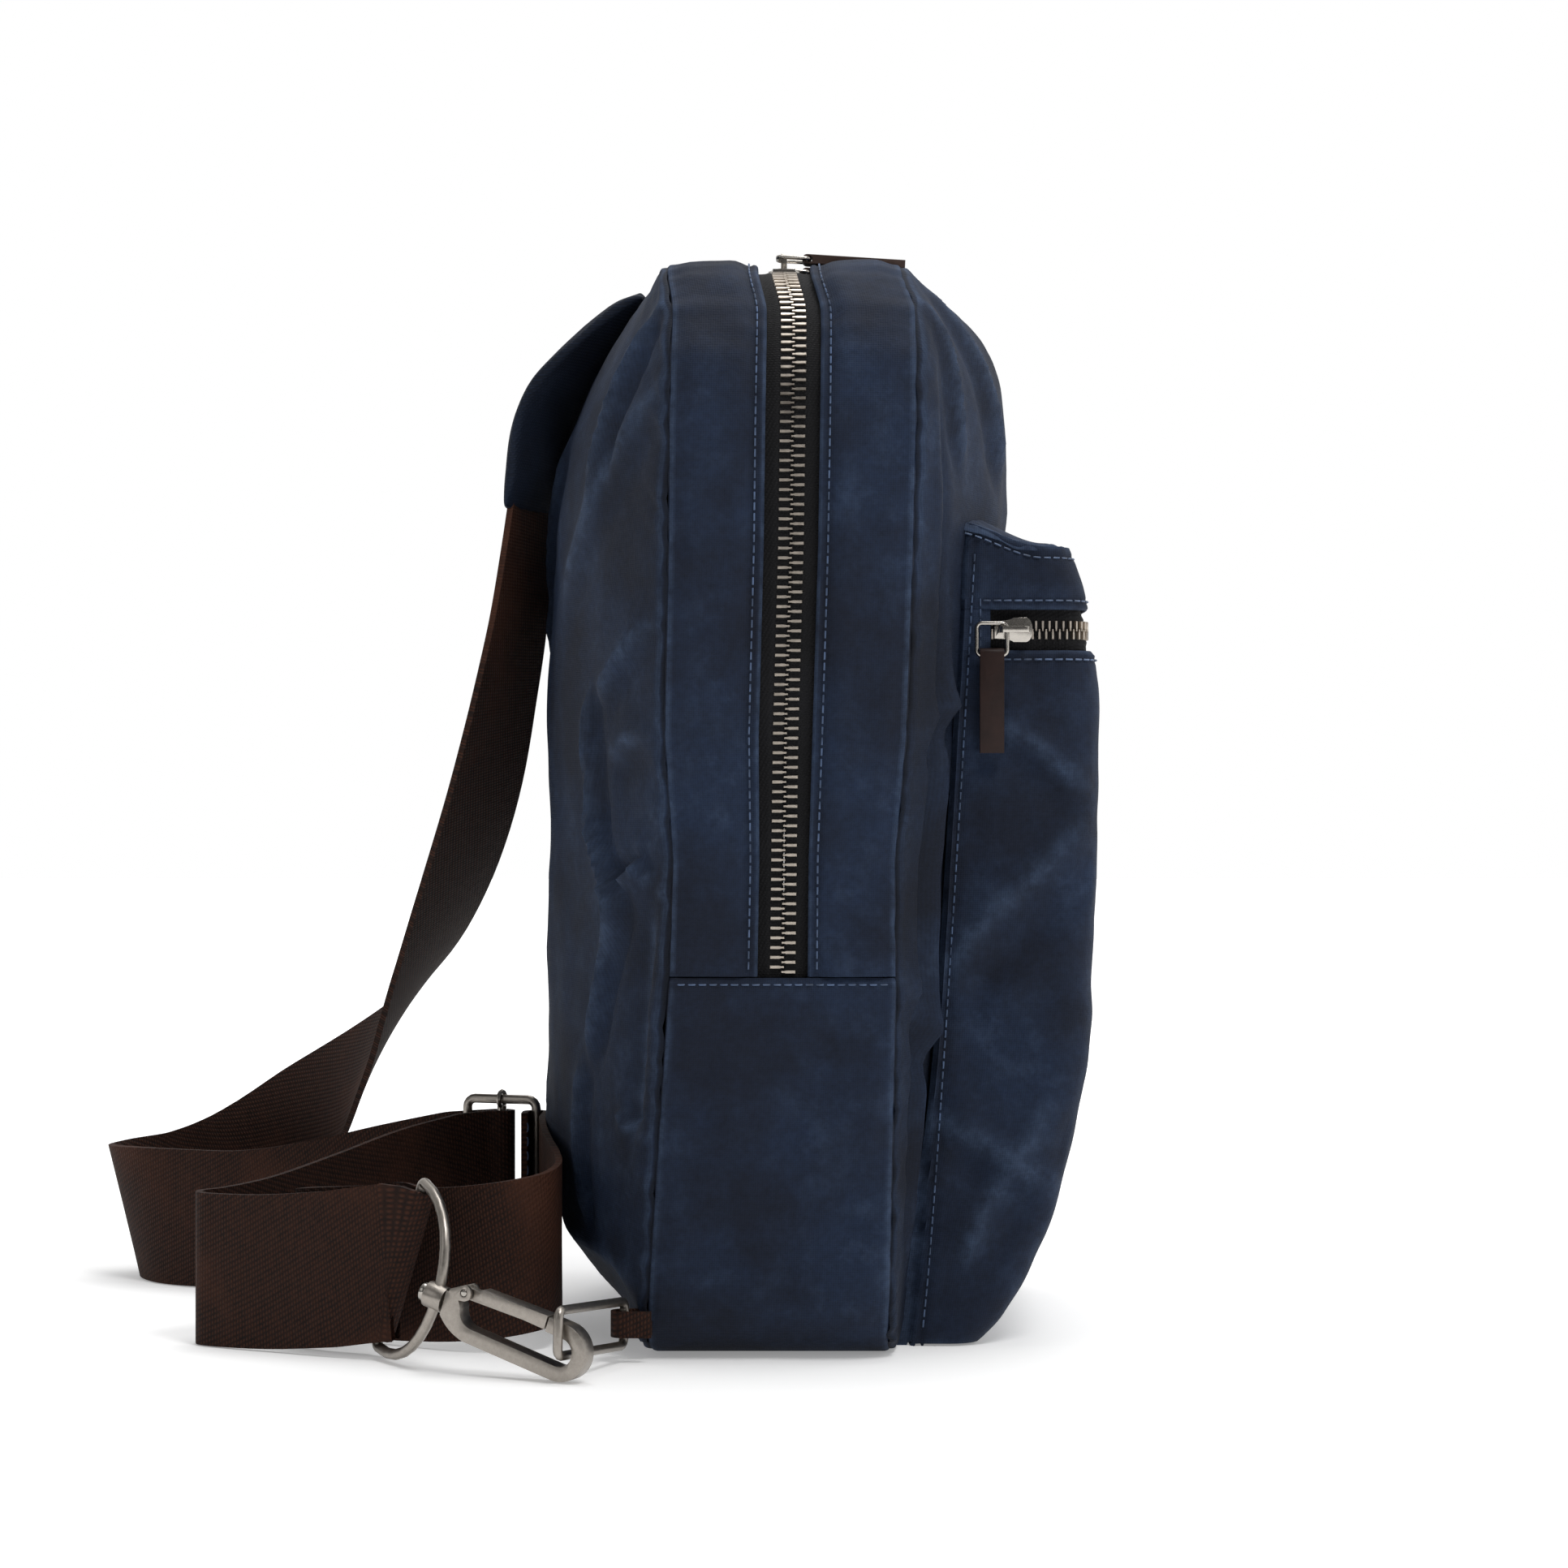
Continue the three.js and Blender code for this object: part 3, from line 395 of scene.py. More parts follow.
def plated(name, base, roughness, grit, strength):
    """Nickel over cast zinc or steel wire: soft reflections with faint handling marks."""
    material, tree, shader = new_material(name, base, Metallic=1.0, Roughness=roughness)
    place = node(tree, "ShaderNodeTexCoord").outputs["Object"]
    marks = node(
        tree, "ShaderNodeTexNoise",
        {"Vector": place, "Scale": 1 / grit, "Detail": 4.0, "Roughness": 0.7},
    ).outputs["Fac"]
    level = node(
        tree, "ShaderNodeMapRange",
        {"Value": marks, "To Min": roughness * 0.75, "To Max": roughness * 1.35},
    ).outputs[0]
    tree.links.new(level, shader.inputs["Roughness"])
    dull = mix(tree, ramp(tree, marks, 0.3, 0.7), rgba([v * 0.78 for v in base]), rgba(base))
    tree.links.new(dull, shader.inputs["Base Color"])
    bump = node(tree, "ShaderNodeBump", {"Height": marks, "Strength": strength, "Distance": 0.0002})
    tree.links.new(bump.outputs[0], shader.inputs["Normal"])
    return material


def smooth_leather(name, base):
    """Vegetable tanned leather: a tight pebbled grain under a soft wax shine."""
    material, tree, shader = new_material(name, base, Roughness=0.5, IOR=1.3)
    place = node(tree, "ShaderNodeTexCoord").outputs["Object"]
    pores = node(tree, "ShaderNodeTexVoronoi", {"Vector": place, "Scale": 1 / 0.0011}).outputs["Distance"]
    stain = node(
        tree, "ShaderNodeTexNoise", {"Vector": place, "Scale": 1 / 0.006, "Detail": 4.0}
    ).outputs["Fac"]
    deep, bright = [v * 0.7 for v in base], [v * 1.2 for v in base]
    shade = mix(tree, ramp(tree, stain, 0.3, 0.7), rgba(deep), rgba(bright))
    tree.links.new(shade, shader.inputs["Base Color"])
    bump = node(tree, "ShaderNodeBump", {"Height": pores, "Strength": 0.25, "Distance": 0.0002})
    tree.links.new(bump.outputs[0], shader.inputs["Normal"])
    return material


def sewing_thread():
    """Waxed polyester thread, a shade paler than the canvas."""
    material, tree, shader = new_material("waxed thread", colours().thread, Roughness=0.5, IOR=1.5)
    place = node(tree, "ShaderNodeTexCoord").outputs["Object"]
    dirt = node(tree, "ShaderNodeTexNoise", {"Vector": place, "Scale": 1 / 0.006}).outputs["Fac"]
    base = colours().thread
    shade = mix(tree, ramp(tree, dirt, 0.35, 0.65), rgba([v * 0.35 for v in base]), rgba(base))
    tree.links.new(shade, shader.inputs["Base Color"])
    return material


def plain_cloth(name, base):
    """Plain lining or foam, hardly seen."""
    material, tree, shader = new_material(name, base, Roughness=0.9)
    place = node(tree, "ShaderNodeTexCoord").outputs["Object"]
    fibres = node(tree, "ShaderNodeTexNoise", {"Vector": place, "Scale": 1 / 0.001, "Detail": 3.0})
    shade = mix(tree, fibres.outputs["Fac"], rgba([v * 0.8 for v in base]), rgba(base))
    tree.links.new(shade, shader.inputs["Base Color"])
    return material


MATERIALS = {}


def finishes():
    if not MATERIALS:
        c = colours()
        MATERIALS.update(
            canvas=waxed_canvas(),
            tape=woven("woven zip tape", c.tape, [v * 0.4 for v in c.tape], 0.0012, 0.0009, 0.5, 0.8),
            webbing=woven("twill webbing", c.webbing, c.webbing_dark, 0.0016, 0.0011, 0.75, 0.8),
            leather=smooth_leather("waxed leather", c.leather),
            leather_edge=smooth_leather("burnished leather edge", c.leather_edge),
            nickel=plated("bright nickel plate", c.nickel, 0.2, 0.004, 0.05),
            satin=plated("satin nickel plate", c.satin_nickel, 0.34, 0.0015, 0.12),
            teeth=plated("brass zip teeth, nickel plated", c.tooth_metal, 0.32, 0.002, 0.1),
            thread=sewing_thread(),
            lining=plain_cloth("plain lining", srgb("#30343C")),
            foam=plain_cloth("closed-cell foam", srgb("#3C3C3E")),
            pad=woven("canvas pad cover", srgb("#131D2E"), srgb("#0A101B"), 0.0009, 0.0009, 0.5, 0.8),
        )
    return MATERIALS


# ---------------------------------------------------------------- camera and light
def add_camera():
    camera = bpy.data.cameras.new("camera")
    camera.sensor_width = 36
    camera.lens = 86.53
    camera.clip_end = 20
    item = bpy.data.objects.new("camera", camera)
    item.location = (0, -1.318, 0.1845)
    item.rotation_euler = (math.radians(90), 0, 0)
    bpy.context.scene.collection.objects.link(item)
    bpy.context.scene.camera = item
    return item


def area_light(name, place, target, size, power):
    light = bpy.data.lights.new(name, "AREA")
    light.shape = "DISK"
    light.size = size
    light.energy = power
    item = bpy.data.objects.new(name, light)
    item.location = place
    item.rotation_euler = (Vector(target) - Vector(place)).to_track_quat("-Z", "Y").to_euler()
    bpy.context.scene.collection.objects.link(item)
    return item


def glow_away_from(paper, near, far, dim, bright):
    """Brightens the paper from near metres to far metres out, so that it fades to white."""
    tree = paper.node_tree
    place = node(tree, "ShaderNodeTexCoord").outputs["Object"]
    out = node(tree, "ShaderNodeVectorMath", {0: place}, operation="LENGTH").outputs["Value"]
    glow = node(
        tree, "ShaderNodeMapRange",
        {"Value": out, "From Min": near, "From Max": far, "To Min": dim, "To Max": bright},
    ).outputs[0]
    tree.links.new(glow, tree.nodes["Principled BSDF"].inputs["Emission Strength"])


def studio_world():
    """A surround that is white behind the bag and on its front side, and dim elsewhere."""
    world = bpy.data.worlds.new("studio")
    world.use_nodes = True
    tree = world.node_tree
    background = tree.nodes["Background"]
    background.inputs["Strength"].default_value = 1.0
    around = node(tree, "ShaderNodeTexCoord").outputs["Generated"]
    way = node(tree, "ShaderNodeSeparateXYZ", {"Vector": around})
    behind = times(tree, way.outputs["Y"], 0.55)
    beside = times(tree, way.outputs["X"], 0.35)
    lit = node(
        tree, "ShaderNodeMapRange",
        {
            "Value": times(tree, behind, beside, "ADD"),
            "From Min": -0.4, "From Max": 0.35, "To Min": 0.12, "To Max": 1.0,
        },
    ).outputs[0]
    tree.links.new(mix(tree, lit, (0, 0, 0, 1), (1, 1, 1, 1)), background.inputs["Color"])
    return world


class BAG_OT_stage(bpy.types.Operator):
    """Sets the camera, the pale floor and the soft studio light"""

    bl_idname = "bag.stage"
    bl_label = "Stage"

    def execute(self, context):
        add_camera()
        clear_selection()
        bpy.ops.mesh.primitive_plane_add(size=12, location=(0, 0, 0))
        floor = context.object
        floor.name = "floor"
        paper, _, shader = new_material("pale paper", srgb("#F2F2F2"), Roughness=0.9)
        shader.inputs["Emission Color"].default_value = (1, 1, 1, 1)
        glow_away_from(paper, 0.4, 1.3, 0.24, 0.8)
        floor.data.materials.append(paper)
        context.scene.world = studio_world()
        context.scene.view_settings.view_transform = "Standard"
        lights = [
            area_light("key", (0.55, -0.95, 1.75), (0, 0, 0.15), 0.6, 14),
            area_light("fill", (-1.3, -1.1, 0.9), (-0.05, 0, 0.15), 1.0, 2),
            area_light("top", (0.1, 0.2, 1.6), (0, 0, 0.2), 0.9, 10),
        ]
        return {"FINISHED"}


# ---------------------------------------------------------------- strap
def back_bulge_at(y, z):
    h = 2 * z / HEIGHT - 1
    fall = max(0.0, 1 - abs(h) ** (8 if h < 0 else 5))
    return BACK_BULGE * fall * max(0.0, 1 - (y / half_width_at(z)) ** 2)


def front_bulge_at(y, z):
    h = 2 * z / HEIGHT - 1
    rise = min(max(z, 0) / FRONT_BULGE_FULL_AT, 1) ** 0.85 * (1 - max(0.0, h) ** 12)
    return FRONT_BULGE * rise * max(0.0, 1 - (y / half_width_at(z)) ** 2)


def corner_loss(distance, radius):
    return 0 if distance >= radius else radius - math.sqrt(max(0, radius**2 - (radius - distance) ** 2))


def half_width_at(z):
    return HALF_WIDTH - corner_loss(z, BOTTOM_RADIUS) - corner_loss(HEIGHT - z, TOP_RADIUS)


def beside_back(drop, behind, turn):
    """A station drop below the top and behind the back panel, in millimetres."""
    z = HEIGHT - drop / 1000
    x = -(PANEL_EDGE + back_bulge_at(0, min(z, HEIGHT))) * 1000 - behind
    return (x, 0, z * 1000, turn, 0.98, 0)


# Each station is its place in millimetres, then the direction of the band's width.
HANGING_ROUTE = [
    beside_back(68.6, 10.3, 0.21), beside_back(90, 10.2, 0.25),
    (-93, 1, 240, 0.3, 0.95, 0), (-98.5, 4, 212, 0.36, 0.93, 0.05),
    (-106, 12, 181, 0.44, 0.88, 0.14), (-116, 25, 151, 0.5, 0.8, 0.3),
    (-128, 42, 123, 0.5, 0.7, 0.5), (-142, 62, 98, 0.42, 0.52, 0.74),
    (-160, 86, 76, 0.28, 0.32, 0.9), (-183, 108, 55, 0.12, 0.14, 0.98),
    (-207, 121, 36, 0, 0.03, 1), (-228, 122, 27.5, -0.12, 0, 1), (-243, 110, 25.5, -0.22, 0, 0.97),
    (-246, 93, 25.4, -0.24, 0, 0.97), (-236, 77, 25.4, -0.18, 0.03, 0.98),
    (-218, 65, 25.4, -0.06, 0.03, 1), (-196, 55, 26, 0, 0, 1), (-168, 45.5, 30.5, 0, 0, 1),
    (-140, 36, 37.5, 0, 0, 1), (-118, 28.5, 42.5, 0, 0, 1),
]
INNER_ROUTE = [
    (-113, 9.5, 43.5, 0, 0, 1), (-130, -7.5, 40, 0, 0, 1), (-150, -28, 33.5, 0, 0, 1),
    (-171, -50, 27.5, 0, 0, 1), (-186, -65, 25.5, 0, 0, 1), (-192.5, -72.5, 25.4, 0, 0, 1),
    (-192, -79, 25.4, 0, 0, 1), (-185, -84, 25.4, 0, 0, 1), (-168, -93, 26, 0.05, -0.02, 1),
    (-146, -104.5, 28.3, 0.16, -0.06, 0.98),
]
RETURN_ROUTE = [
    (-134, -98.5, 29.6, 0.22, -0.08, 0.97), (-150, -90, 28, 0.12, -0.04, 0.99),
    (-160, -80, 26.5, 0.04, 0, 1), (-156, -70, 26, 0, 0, 1), (-142, -71, 26.3, 0, 0, 1),
    (-124, -82, 27, 0, 0, 1), (-106, -93, 28.5, 0, 0, 1), (-91, -97, 30.5, 0, 0, 1),
    (-79, -91.5, 32.5, 0, 0, 1), (-74.5, -78, 34.5, 0, 0, 1), (-76, -61, 37, 0, 0, 1),
    (-79.5, -43, 39.5, 0, 0, 1), (-82.5, -24, 42, 0, 0, 1), (-84.3, -4, 43.6, 0, 0, 1),
]
PAD_ROUTE = [
    beside_back(5, 1.5, 0.02), beside_back(9, 4.4, 0.05), beside_back(19, 7.4, 0.12),
    beside_back(27, 9.4, 0.19), beside_back(38, 12, 0.25), beside_back(50, 12.2, 0.24),
    beside_back(67, 10.5, 0.21), beside_back(78, 10.3, 0.22),
]
ADJUSTER_CENTRE = Vector((-0.1, 0.018, 0.044))
ADJUSTER_ALONG = Vector((0.936, -0.352, 0)).normalized()
ADJUSTER_BACK = UP.cross(ADJUSTER_ALONG)
ADJUSTER_LENGTH = 0.03
D_RING_CENTRE = Vector((-0.123, -0.111, 0.0309))
D_RING_BAR = Vector((0.28, -0.1, 0.955)).normalized()


def square_to(vector, to):
    vector = Vector(vector)
    return (vector - to * vector.dot(to)).normalized()


def spline(points, per_span):
    """A centripetal Catmull-Rom curve through the points."""
    ends = [points[0] * 2 - points[1], *points, points[-1] * 2 - points[-2]]
    out = []
    for i in range(1, len(ends) - 2):
        p0, p1, p2, p3 = ends[i - 1 : i + 3]
        d1, d2, d3 = (max((b - a).length, 1e-9) ** 0.5 for a, b in ((p0, p1), (p1, p2), (p2, p3)))
        t1 = (p1 - p0) / d1 - (p2 - p0) / (d1 + d2) + (p2 - p1) / d2
        t2 = (p2 - p1) / d2 - (p3 - p1) / (d2 + d3) + (p3 - p2) / d3
        m1, m2 = t1 * d2, t2 * d2
        for step in range(per_span):
            t = step / per_span
            out.append(
                p1 * (2 * t**3 - 3 * t**2 + 1) + m1 * (t**3 - 2 * t**2 + t)
                + p2 * (3 * t**2 - 2 * t**3) + m2 * (t**3 - t**2)
            )
    out.append(points[-1].copy())
    return out


def stations(rows, per_span):
    places = spline([Vector(row[:3]) / 1000 for row in rows], per_span)
    widths = spline([Vector(row[3:]) for row in rows], per_span)
    return [(place, width.normalized()) for place, width in zip(places, widths)]


def half_turn(centre, axis, start, way, radius, lead=0.0025, steps=8):
    """Stations round a bar, from the start side, over the way side, to the far side."""
    out = [(centre + start * radius - way * lead, axis)]
    for step in range(steps + 1):
        angle = math.pi * step / steps
        out.append((centre + (start * math.cos(angle) + way * math.sin(angle)) * radius, axis))
    out.append((centre - start * radius - way * lead, axis))
    return out


def strap_stations():
    bar_turn = ADJUSTER_WIRE / 2 + WEBBING_SLACK + WEBBING_THICKNESS / 2
    ring_turn = D_RING_WIRE / 2 + WEBBING_SLACK + WEBBING_THICKNESS / 2
    arrival = square_to((0.89, -0.45, 0), D_RING_BAR)
    away = D_RING_BAR.cross(arrival)
    sewn_bar = ADJUSTER_CENTRE + ADJUSTER_ALONG * (ADJUSTER_LENGTH - ADJUSTER_WIRE) / 2
    right, beyond = Vector((1, 0, 0)), Vector((0, 1, 0))
    rows = stations(HANGING_ROUTE, 5)
    rows += half_turn(ADJUSTER_CENTRE, UP, ADJUSTER_BACK, ADJUSTER_ALONG, bar_turn)
    rows += stations(INNER_ROUTE, 5)
    rows += half_turn(D_RING_CENTRE, D_RING_BAR, -away, arrival, ring_turn)
    rows += stations(RETURN_ROUTE, 5)
    rows += half_turn(sewn_bar, UP, right, beyond, bar_turn)
    rows.append((sewn_bar - right * bar_turn - beyond * 0.009, UP))
    return rows


def frames_along(rows):
    """Place, width direction and outward direction at each station, and the length so far."""
    out, travelled = [], 0.0
    for i, (place, width) in enumerate(rows):
        before, after = rows[max(i - 1, 0)][0], rows[min(i + 1, len(rows) - 1)][0]
        along = (after - before).normalized()
        width = square_to(width, along)
        if i:
            travelled += (place - rows[i - 1][0]).length
        out.append((place, width, width.cross(along), travelled))
    return out


def evenly(frames, pitch):
    """The frames again, spaced pitch apart."""
    total = frames[-1][3]
    count = max(2, round(total / pitch))
    out, i = [], 0
    for step in range(count + 1):
        goal = total * step / count
        while i < len(frames) - 2 and frames[i + 1][3] < goal:
            i += 1
        a, b = frames[i], frames[i + 1]
        t = min(max((goal - a[3]) / max(b[3] - a[3], 1e-9), 0), 1)
        out.append((
            a[0].lerp(b[0], t), a[1].lerp(b[1], t).normalized(), a[2].lerp(b[2], t).normalized(), goal
        ))
    return out


def band_mesh(name, frames, width, thickness, across=16):
    """A flat woven band with a raised selvage; its cloth coordinates are metres."""
    half, points, uvs = width / 2, [], []
    ring = []
    for side in (1, -1):
        for i in range(across + 1):
            t = -1 + 2 * i / across
            ring.append((t * side, side))
    for place, wide, out, travelled in frames:
        for t, side in ring:
            rim = max(0.0, (abs(t) - 0.9) / 0.1)
            depth = side * thickness / 2 * (1 + 0.18 * math.sin(math.pi * rim))
            points.append(place + wide * (t * half) + out * depth)
            uvs.append((t * half, travelled))
    columns = len(ring)
    faces = grid_faces(len(frames), columns, close_columns=True)
    last = (len(frames) - 1) * columns
    faces += [tuple(range(columns))[::-1], tuple(last + i for i in range(columns))]
    return face_outwards(mesh_object(name, points, faces, uvs))


class BAG_OT_strap(bpy.types.Operator):
    """Lays the webbing strap, its sewn end and the row of stitching across it"""

    bl_idname = "bag.strap"
    bl_label = "Strap"

    def execute(self, context):
        s = sizes()
        rough = frames_along(strap_stations())
        frames = evenly(rough, 0.0018)
        item = band_mesh("strap", frames, s.webbing_width, WEBBING_THICKNESS)
        smooth(item, 50)
        finish_piece(item, finishes()["webbing"], "bag", "webbing", "strap_webbing")
        place, wide, out, _ = rough[-1]
        face = place + out * WEBBING_THICKNESS * 0.55
        marks = [(face + wide * s.webbing_width * k / 10, wide, out) for k in range(-4, 5)]
        bar = stitch_row("strap_stitches", marks, 0.0032)
        finish_piece(bar, finishes()["thread"], "bag", "canvas")
        return {"FINISHED"}


# ---------------------------------------------------------------- stitches
STITCH = [(-0.5, 0), (-0.3, 0.8), (0, 1), (0.3, 0.8), (0.5, 0)]


def stitch_row(name, marks, length, thick=0.00055):
    """One small bowed thread at each mark: its place, its direction and its way out."""
    points, faces = [], []
    for place, along, out in marks:
        along = Vector(along).normalized()
        out = square_to(out, along)
        side = along.cross(out)
        start = len(points)
        for t, rise in STITCH:
            core = place + along * (t * length) + out * (rise * thick * 0.55 - thick * 0.2)
            for k in range(4):
                angle = math.pi / 2 * k
                points.append(core + (out * math.cos(angle) + side * math.sin(angle)) * thick / 2)
        for r in range(len(STITCH) - 1):
            for k in range(4):
                a, b = start + r * 4 + k, start + r * 4 + (k + 1) % 4
                faces.append((a, b, b + 4, a + 4))
        faces.append((start + 3, start + 2, start + 1, start))
        end = start + 4 * (len(STITCH) - 1)
        faces.append((end, end + 1, end + 2, end + 3))
    return smooth(mesh_object(name, points, faces), 60)


def marks_along(points, outs, pitch):
    """Stitch marks pitch apart along a line of points, each with its outward direction."""
    marks, travelled, goal = [], 0.0, pitch / 2
    for i in range(len(points) - 1):
        step = (points[i + 1] - points[i]).length
        while step > 0 and travelled + step >= goal:
            t = (goal - travelled) / step
            place = points[i].lerp(points[i + 1], t)
            marks.append((place, points[i + 1] - points[i], outs[i].lerp(outs[i + 1], t)))
            goal += pitch
        travelled += step
    return marks


# ---------------------------------------------------------------- canvas body
def ease(value, start, end):
    t = min(max((value - start) / (end - start), 0), 1)
    return t * t * (3 - 2 * t)


# How far the strap side of the gusset leans forwards at each height, in metres.
LEAN = ((0.0, -0.0055), (0.04, -0.004), (0.12, -0.0005), (0.2, 0.0005), (0.26, 0.0022), (0.4, 0.0042))
# How much wider the same side is than a straight gusset.
FLARE = ((0.0, 0.0005), (0.12, -0.0022), (0.16, -0.003), (0.2, 0.0002), (0.3, 0.001), (0.4, 0.0006))


def between(table, value):
    for (a, low), (b, high) in zip(table, table[1:]):
        if value <= b:
            return low + (high - low) * min(max((value - a) / (b - a), 0), 1)
    return table[-1][1]


def leaned(place):
    """The standing bag leans and narrows a little on its strap side."""
    near = ease(-place.y, 0.05, 0.112) * (1 - ease(abs(place.x), 0.043, 0.062))
    near *= 1 - ease(place.z, HEIGHT - 0.02, HEIGHT)
    shift = between(LEAN, place.z) + between(FLARE, place.z) * max(-1, min(1, place.x / HALF_GUSSET))
    return Vector((place.x + shift * near, place.y, place.z))


def crease(y, z, fold):
    """How far a fold lifts the cloth at (y, z): a ridge beside a valley."""
    (y1, z1), (y2, z2), width, height = fold
    dy, dz = y2 - y1, z2 - z1
    length = math.hypot(dy, dz)
    t = ((y - y1) * dy + (z - z1) * dz) / length**2
    off = ((y - y1) * dz - (z - z1) * dy) / length
    fade = ease(t, -0.15, 0.12) * (1 - ease(t, 0.8, 1.15))
    off += 0.25 * width * math.sin(t * 5)
    ridge = math.exp(-abs(off / width) ** 1.2)
    valley = math.exp(-(((off - 1.5 * width) / width) ** 2))
    return height * fade * (ridge - 0.7 * valley), fade * math.exp(-(off / width / 0.45) ** 2)


BACK_FOLDS = [
    ((-0.102, 0.345), (-0.076, 0.283), 0.004, 0.0036), ((-0.112, 0.31), (-0.05, 0.25), 0.007, 0.002),
    ((-0.078, 0.212), (-0.081, 0.172), 0.0035, 0.003), ((-0.081, 0.174), (-0.096, 0.142), 0.0032, 0.0036),
    ((-0.096, 0.144), (-0.078, 0.096), 0.0035, 0.0034), ((-0.093, 0.151), (-0.107, 0.157), 0.0028, 0.003),
    ((-0.106, 0.158), (-0.118, 0.148), 0.0026, 0.0036), ((-0.112, 0.14), (-0.108, 0.07), 0.004, -0.0035),
    ((-0.1, 0.078), (-0.116, 0.07), 0.0028, 0.0028), ((-0.07, 0.09), (-0.062, 0.04), 0.004, 0.0025),
    ((-0.113, 0.235), (-0.085, 0.215), 0.0045, 0.0024), ((-0.114, 0.2), (-0.092, 0.196), 0.004, 0.0022),
    ((-0.106, 0.026), (-0.03, 0.034), 0.006, 0.0025), ((-0.02, 0.3), (0.03, 0.22), 0.008, 0.0025),
    ((0.1, 0.3), (0.02, 0.24), 0.007, 0.003), ((0.112, 0.15), (0.05, 0.19), 0.005, 0.0035),
    ((0.115, 0.14), (0.07, 0.12), 0.005, 0.003), ((0.11, 0.06), (0.03, 0.1), 0.007, 0.003),
    ((-0.03, 0.02), (0.02, 0.12), 0.01, 0.002),
]
FRONT_FOLDS = [
    ((-0.1, 0.345), (-0.085, 0.29), 0.004, 0.003), ((-0.075, 0.35), (-0.04, 0.29), 0.006, 0.0028),
    ((-0.104, 0.3), (-0.103, 0.05), 0.0035, -0.0045), ((-0.096, 0.24), (-0.092, 0.04), 0.0035, 0.003),
    ((-0.116, 0.2), (-0.085, 0.215), 0.006, 0.003), ((-0.114, 0.12), (-0.085, 0.1), 0.006, 0.003),
    ((0.1, 0.33), (0.02, 0.285), 0.009, 0.003), ((0.112, 0.2), (0.08, 0.15), 0.008, 0.003),
]
POCKET_SIDE_FOLDS = [
    ((0.07, 0.203), (0.1, 0.185), 0.006, 0.002), ((0.05, 0.12), (0.095, 0.17), 0.008, 0.0022),
    ((0.045, 0.075), (0.09, 0.055), 0.008, 0.002), ((0.06, 0.03), (0.085, 0.08), 0.007, 0.0018),
]


def folded(y, z, folds):
    lift, worn = 0.0, 0.0
    for fold in folds:
        rise, line = crease(y, z, fold)
        lift += rise
        worn = max(worn, line * 0.75)
    return lift * sizes().fold_depth, worn


def seam_shade_and_wear(distance, pale=0.55):
    """Painted shade right down the seam line, and pale wear on the rubbed ridge beside it."""
    return pale * (1 - ease(distance, 0.001, 0.0026)) - 1.2 * (1 - ease(distance, 0.0001, 0.0006))


def seam_puckers(along, distance, seed):
    """Small gathers that die out away from a seam."""
    deep = 0.0009 * math.exp(-distance / 0.011)
    return deep * grain((along, seed, 0), 0.0065) * 1.6


def canvas_shell(name, points, faces, uvs, wear, thickness=CANVAS, inwards=-1):
    item = mesh_object(name, points, faces, uvs, wear)
    apply_modifier(item, "SOLIDIFY", thickness=thickness, offset=inwards, use_even_offset=False)
    return smooth(item, 60)


def pocket_shade_strip(y, z):
    """1 on the narrow strips of the front panel beside the pocket, where the pocket's shadow is painted onto
    the canvas.
    """
    return ease(abs(y), 0.078, 0.086) * (1 - ease(z, 0.225, 0.265))


def panel_grid(towards, bulge_at, folds, rows=150, columns=120):
    points, uvs, wear = [], [], []
    for r in range(rows):
        z = HEIGHT * (0.5 - 0.5 * math.cos(math.pi * r / (rows - 1)))
        reach = half_width_at(z)
        for c in range(columns):
            y = reach * math.sin(math.pi / 2 * (-1 + 2 * c / (columns - 1)))
            rim = min(reach - abs(y), z, HEIGHT - z)
            lift, worn = folded(y, z, folds)
            free = ease(rim, 0.0, 0.02)
            lift *= 0.25 + 0.75 * free
            lift += 0.0016 * free * grain((y, z, towards), 0.04, 3.1)
            lift += 0.0006 * free * grain((y, z, 0), 0.014, 1.7)
            lift += seam_puckers(y - z, rim, towards * 2.0)
            roll = rolled_edge(rim, 0.0025)
            x = towards * (PANEL_EDGE + 0.0008 + bulge_at(y, z) + lift - roll)
            low = 0.0006 if z < 0.004 else 0
            points.append(leaned(Vector((x, y * (1 - 0.002 * (rim < 1e-6)), z + low))))
            uvs.append((y, z))
            # Pale fold and seam wear, painted shade down the seam, and the pocket's painted shadow on the
            # strips beside it: there the pale wear is cut down and the tone darkened.
            pocket_shade = pocket_shade_strip(y, z) if towards > 0 else 0.0
            rubbed = 0.9 * worn + seam_shade_and_wear(rim, 0.35)
            wear.append(min(1.0, (1 - 0.4 * pocket_shade) * rubbed - 0.5 * pocket_shade))
    faces = grid_faces(rows, columns)
    if towards < 0:
        faces = [f[::-1] for f in faces]
    return points, faces, uvs, wear


class BAG_OT_panels(bpy.types.Operator):
    """Makes the bulging back and front canvas panels with their folds"""

    bl_idname = "bag.panels"
    bl_label = "Panels"

    def execute(self, context):
        for name, towards, bulge_at, folds in (
            ("back canvas", -1, back_bulge_at, BACK_FOLDS),
            ("front canvas", 1, front_bulge_at, FRONT_FOLDS),
        ):
            item = canvas_shell(name, *panel_grid(towards, bulge_at, folds))
            node_name = "back_panel" if towards < 0 else "front_panel"
            finish_piece(item, finishes()["canvas"], "bag", "canvas", node_name)
        return {"FINISHED"}


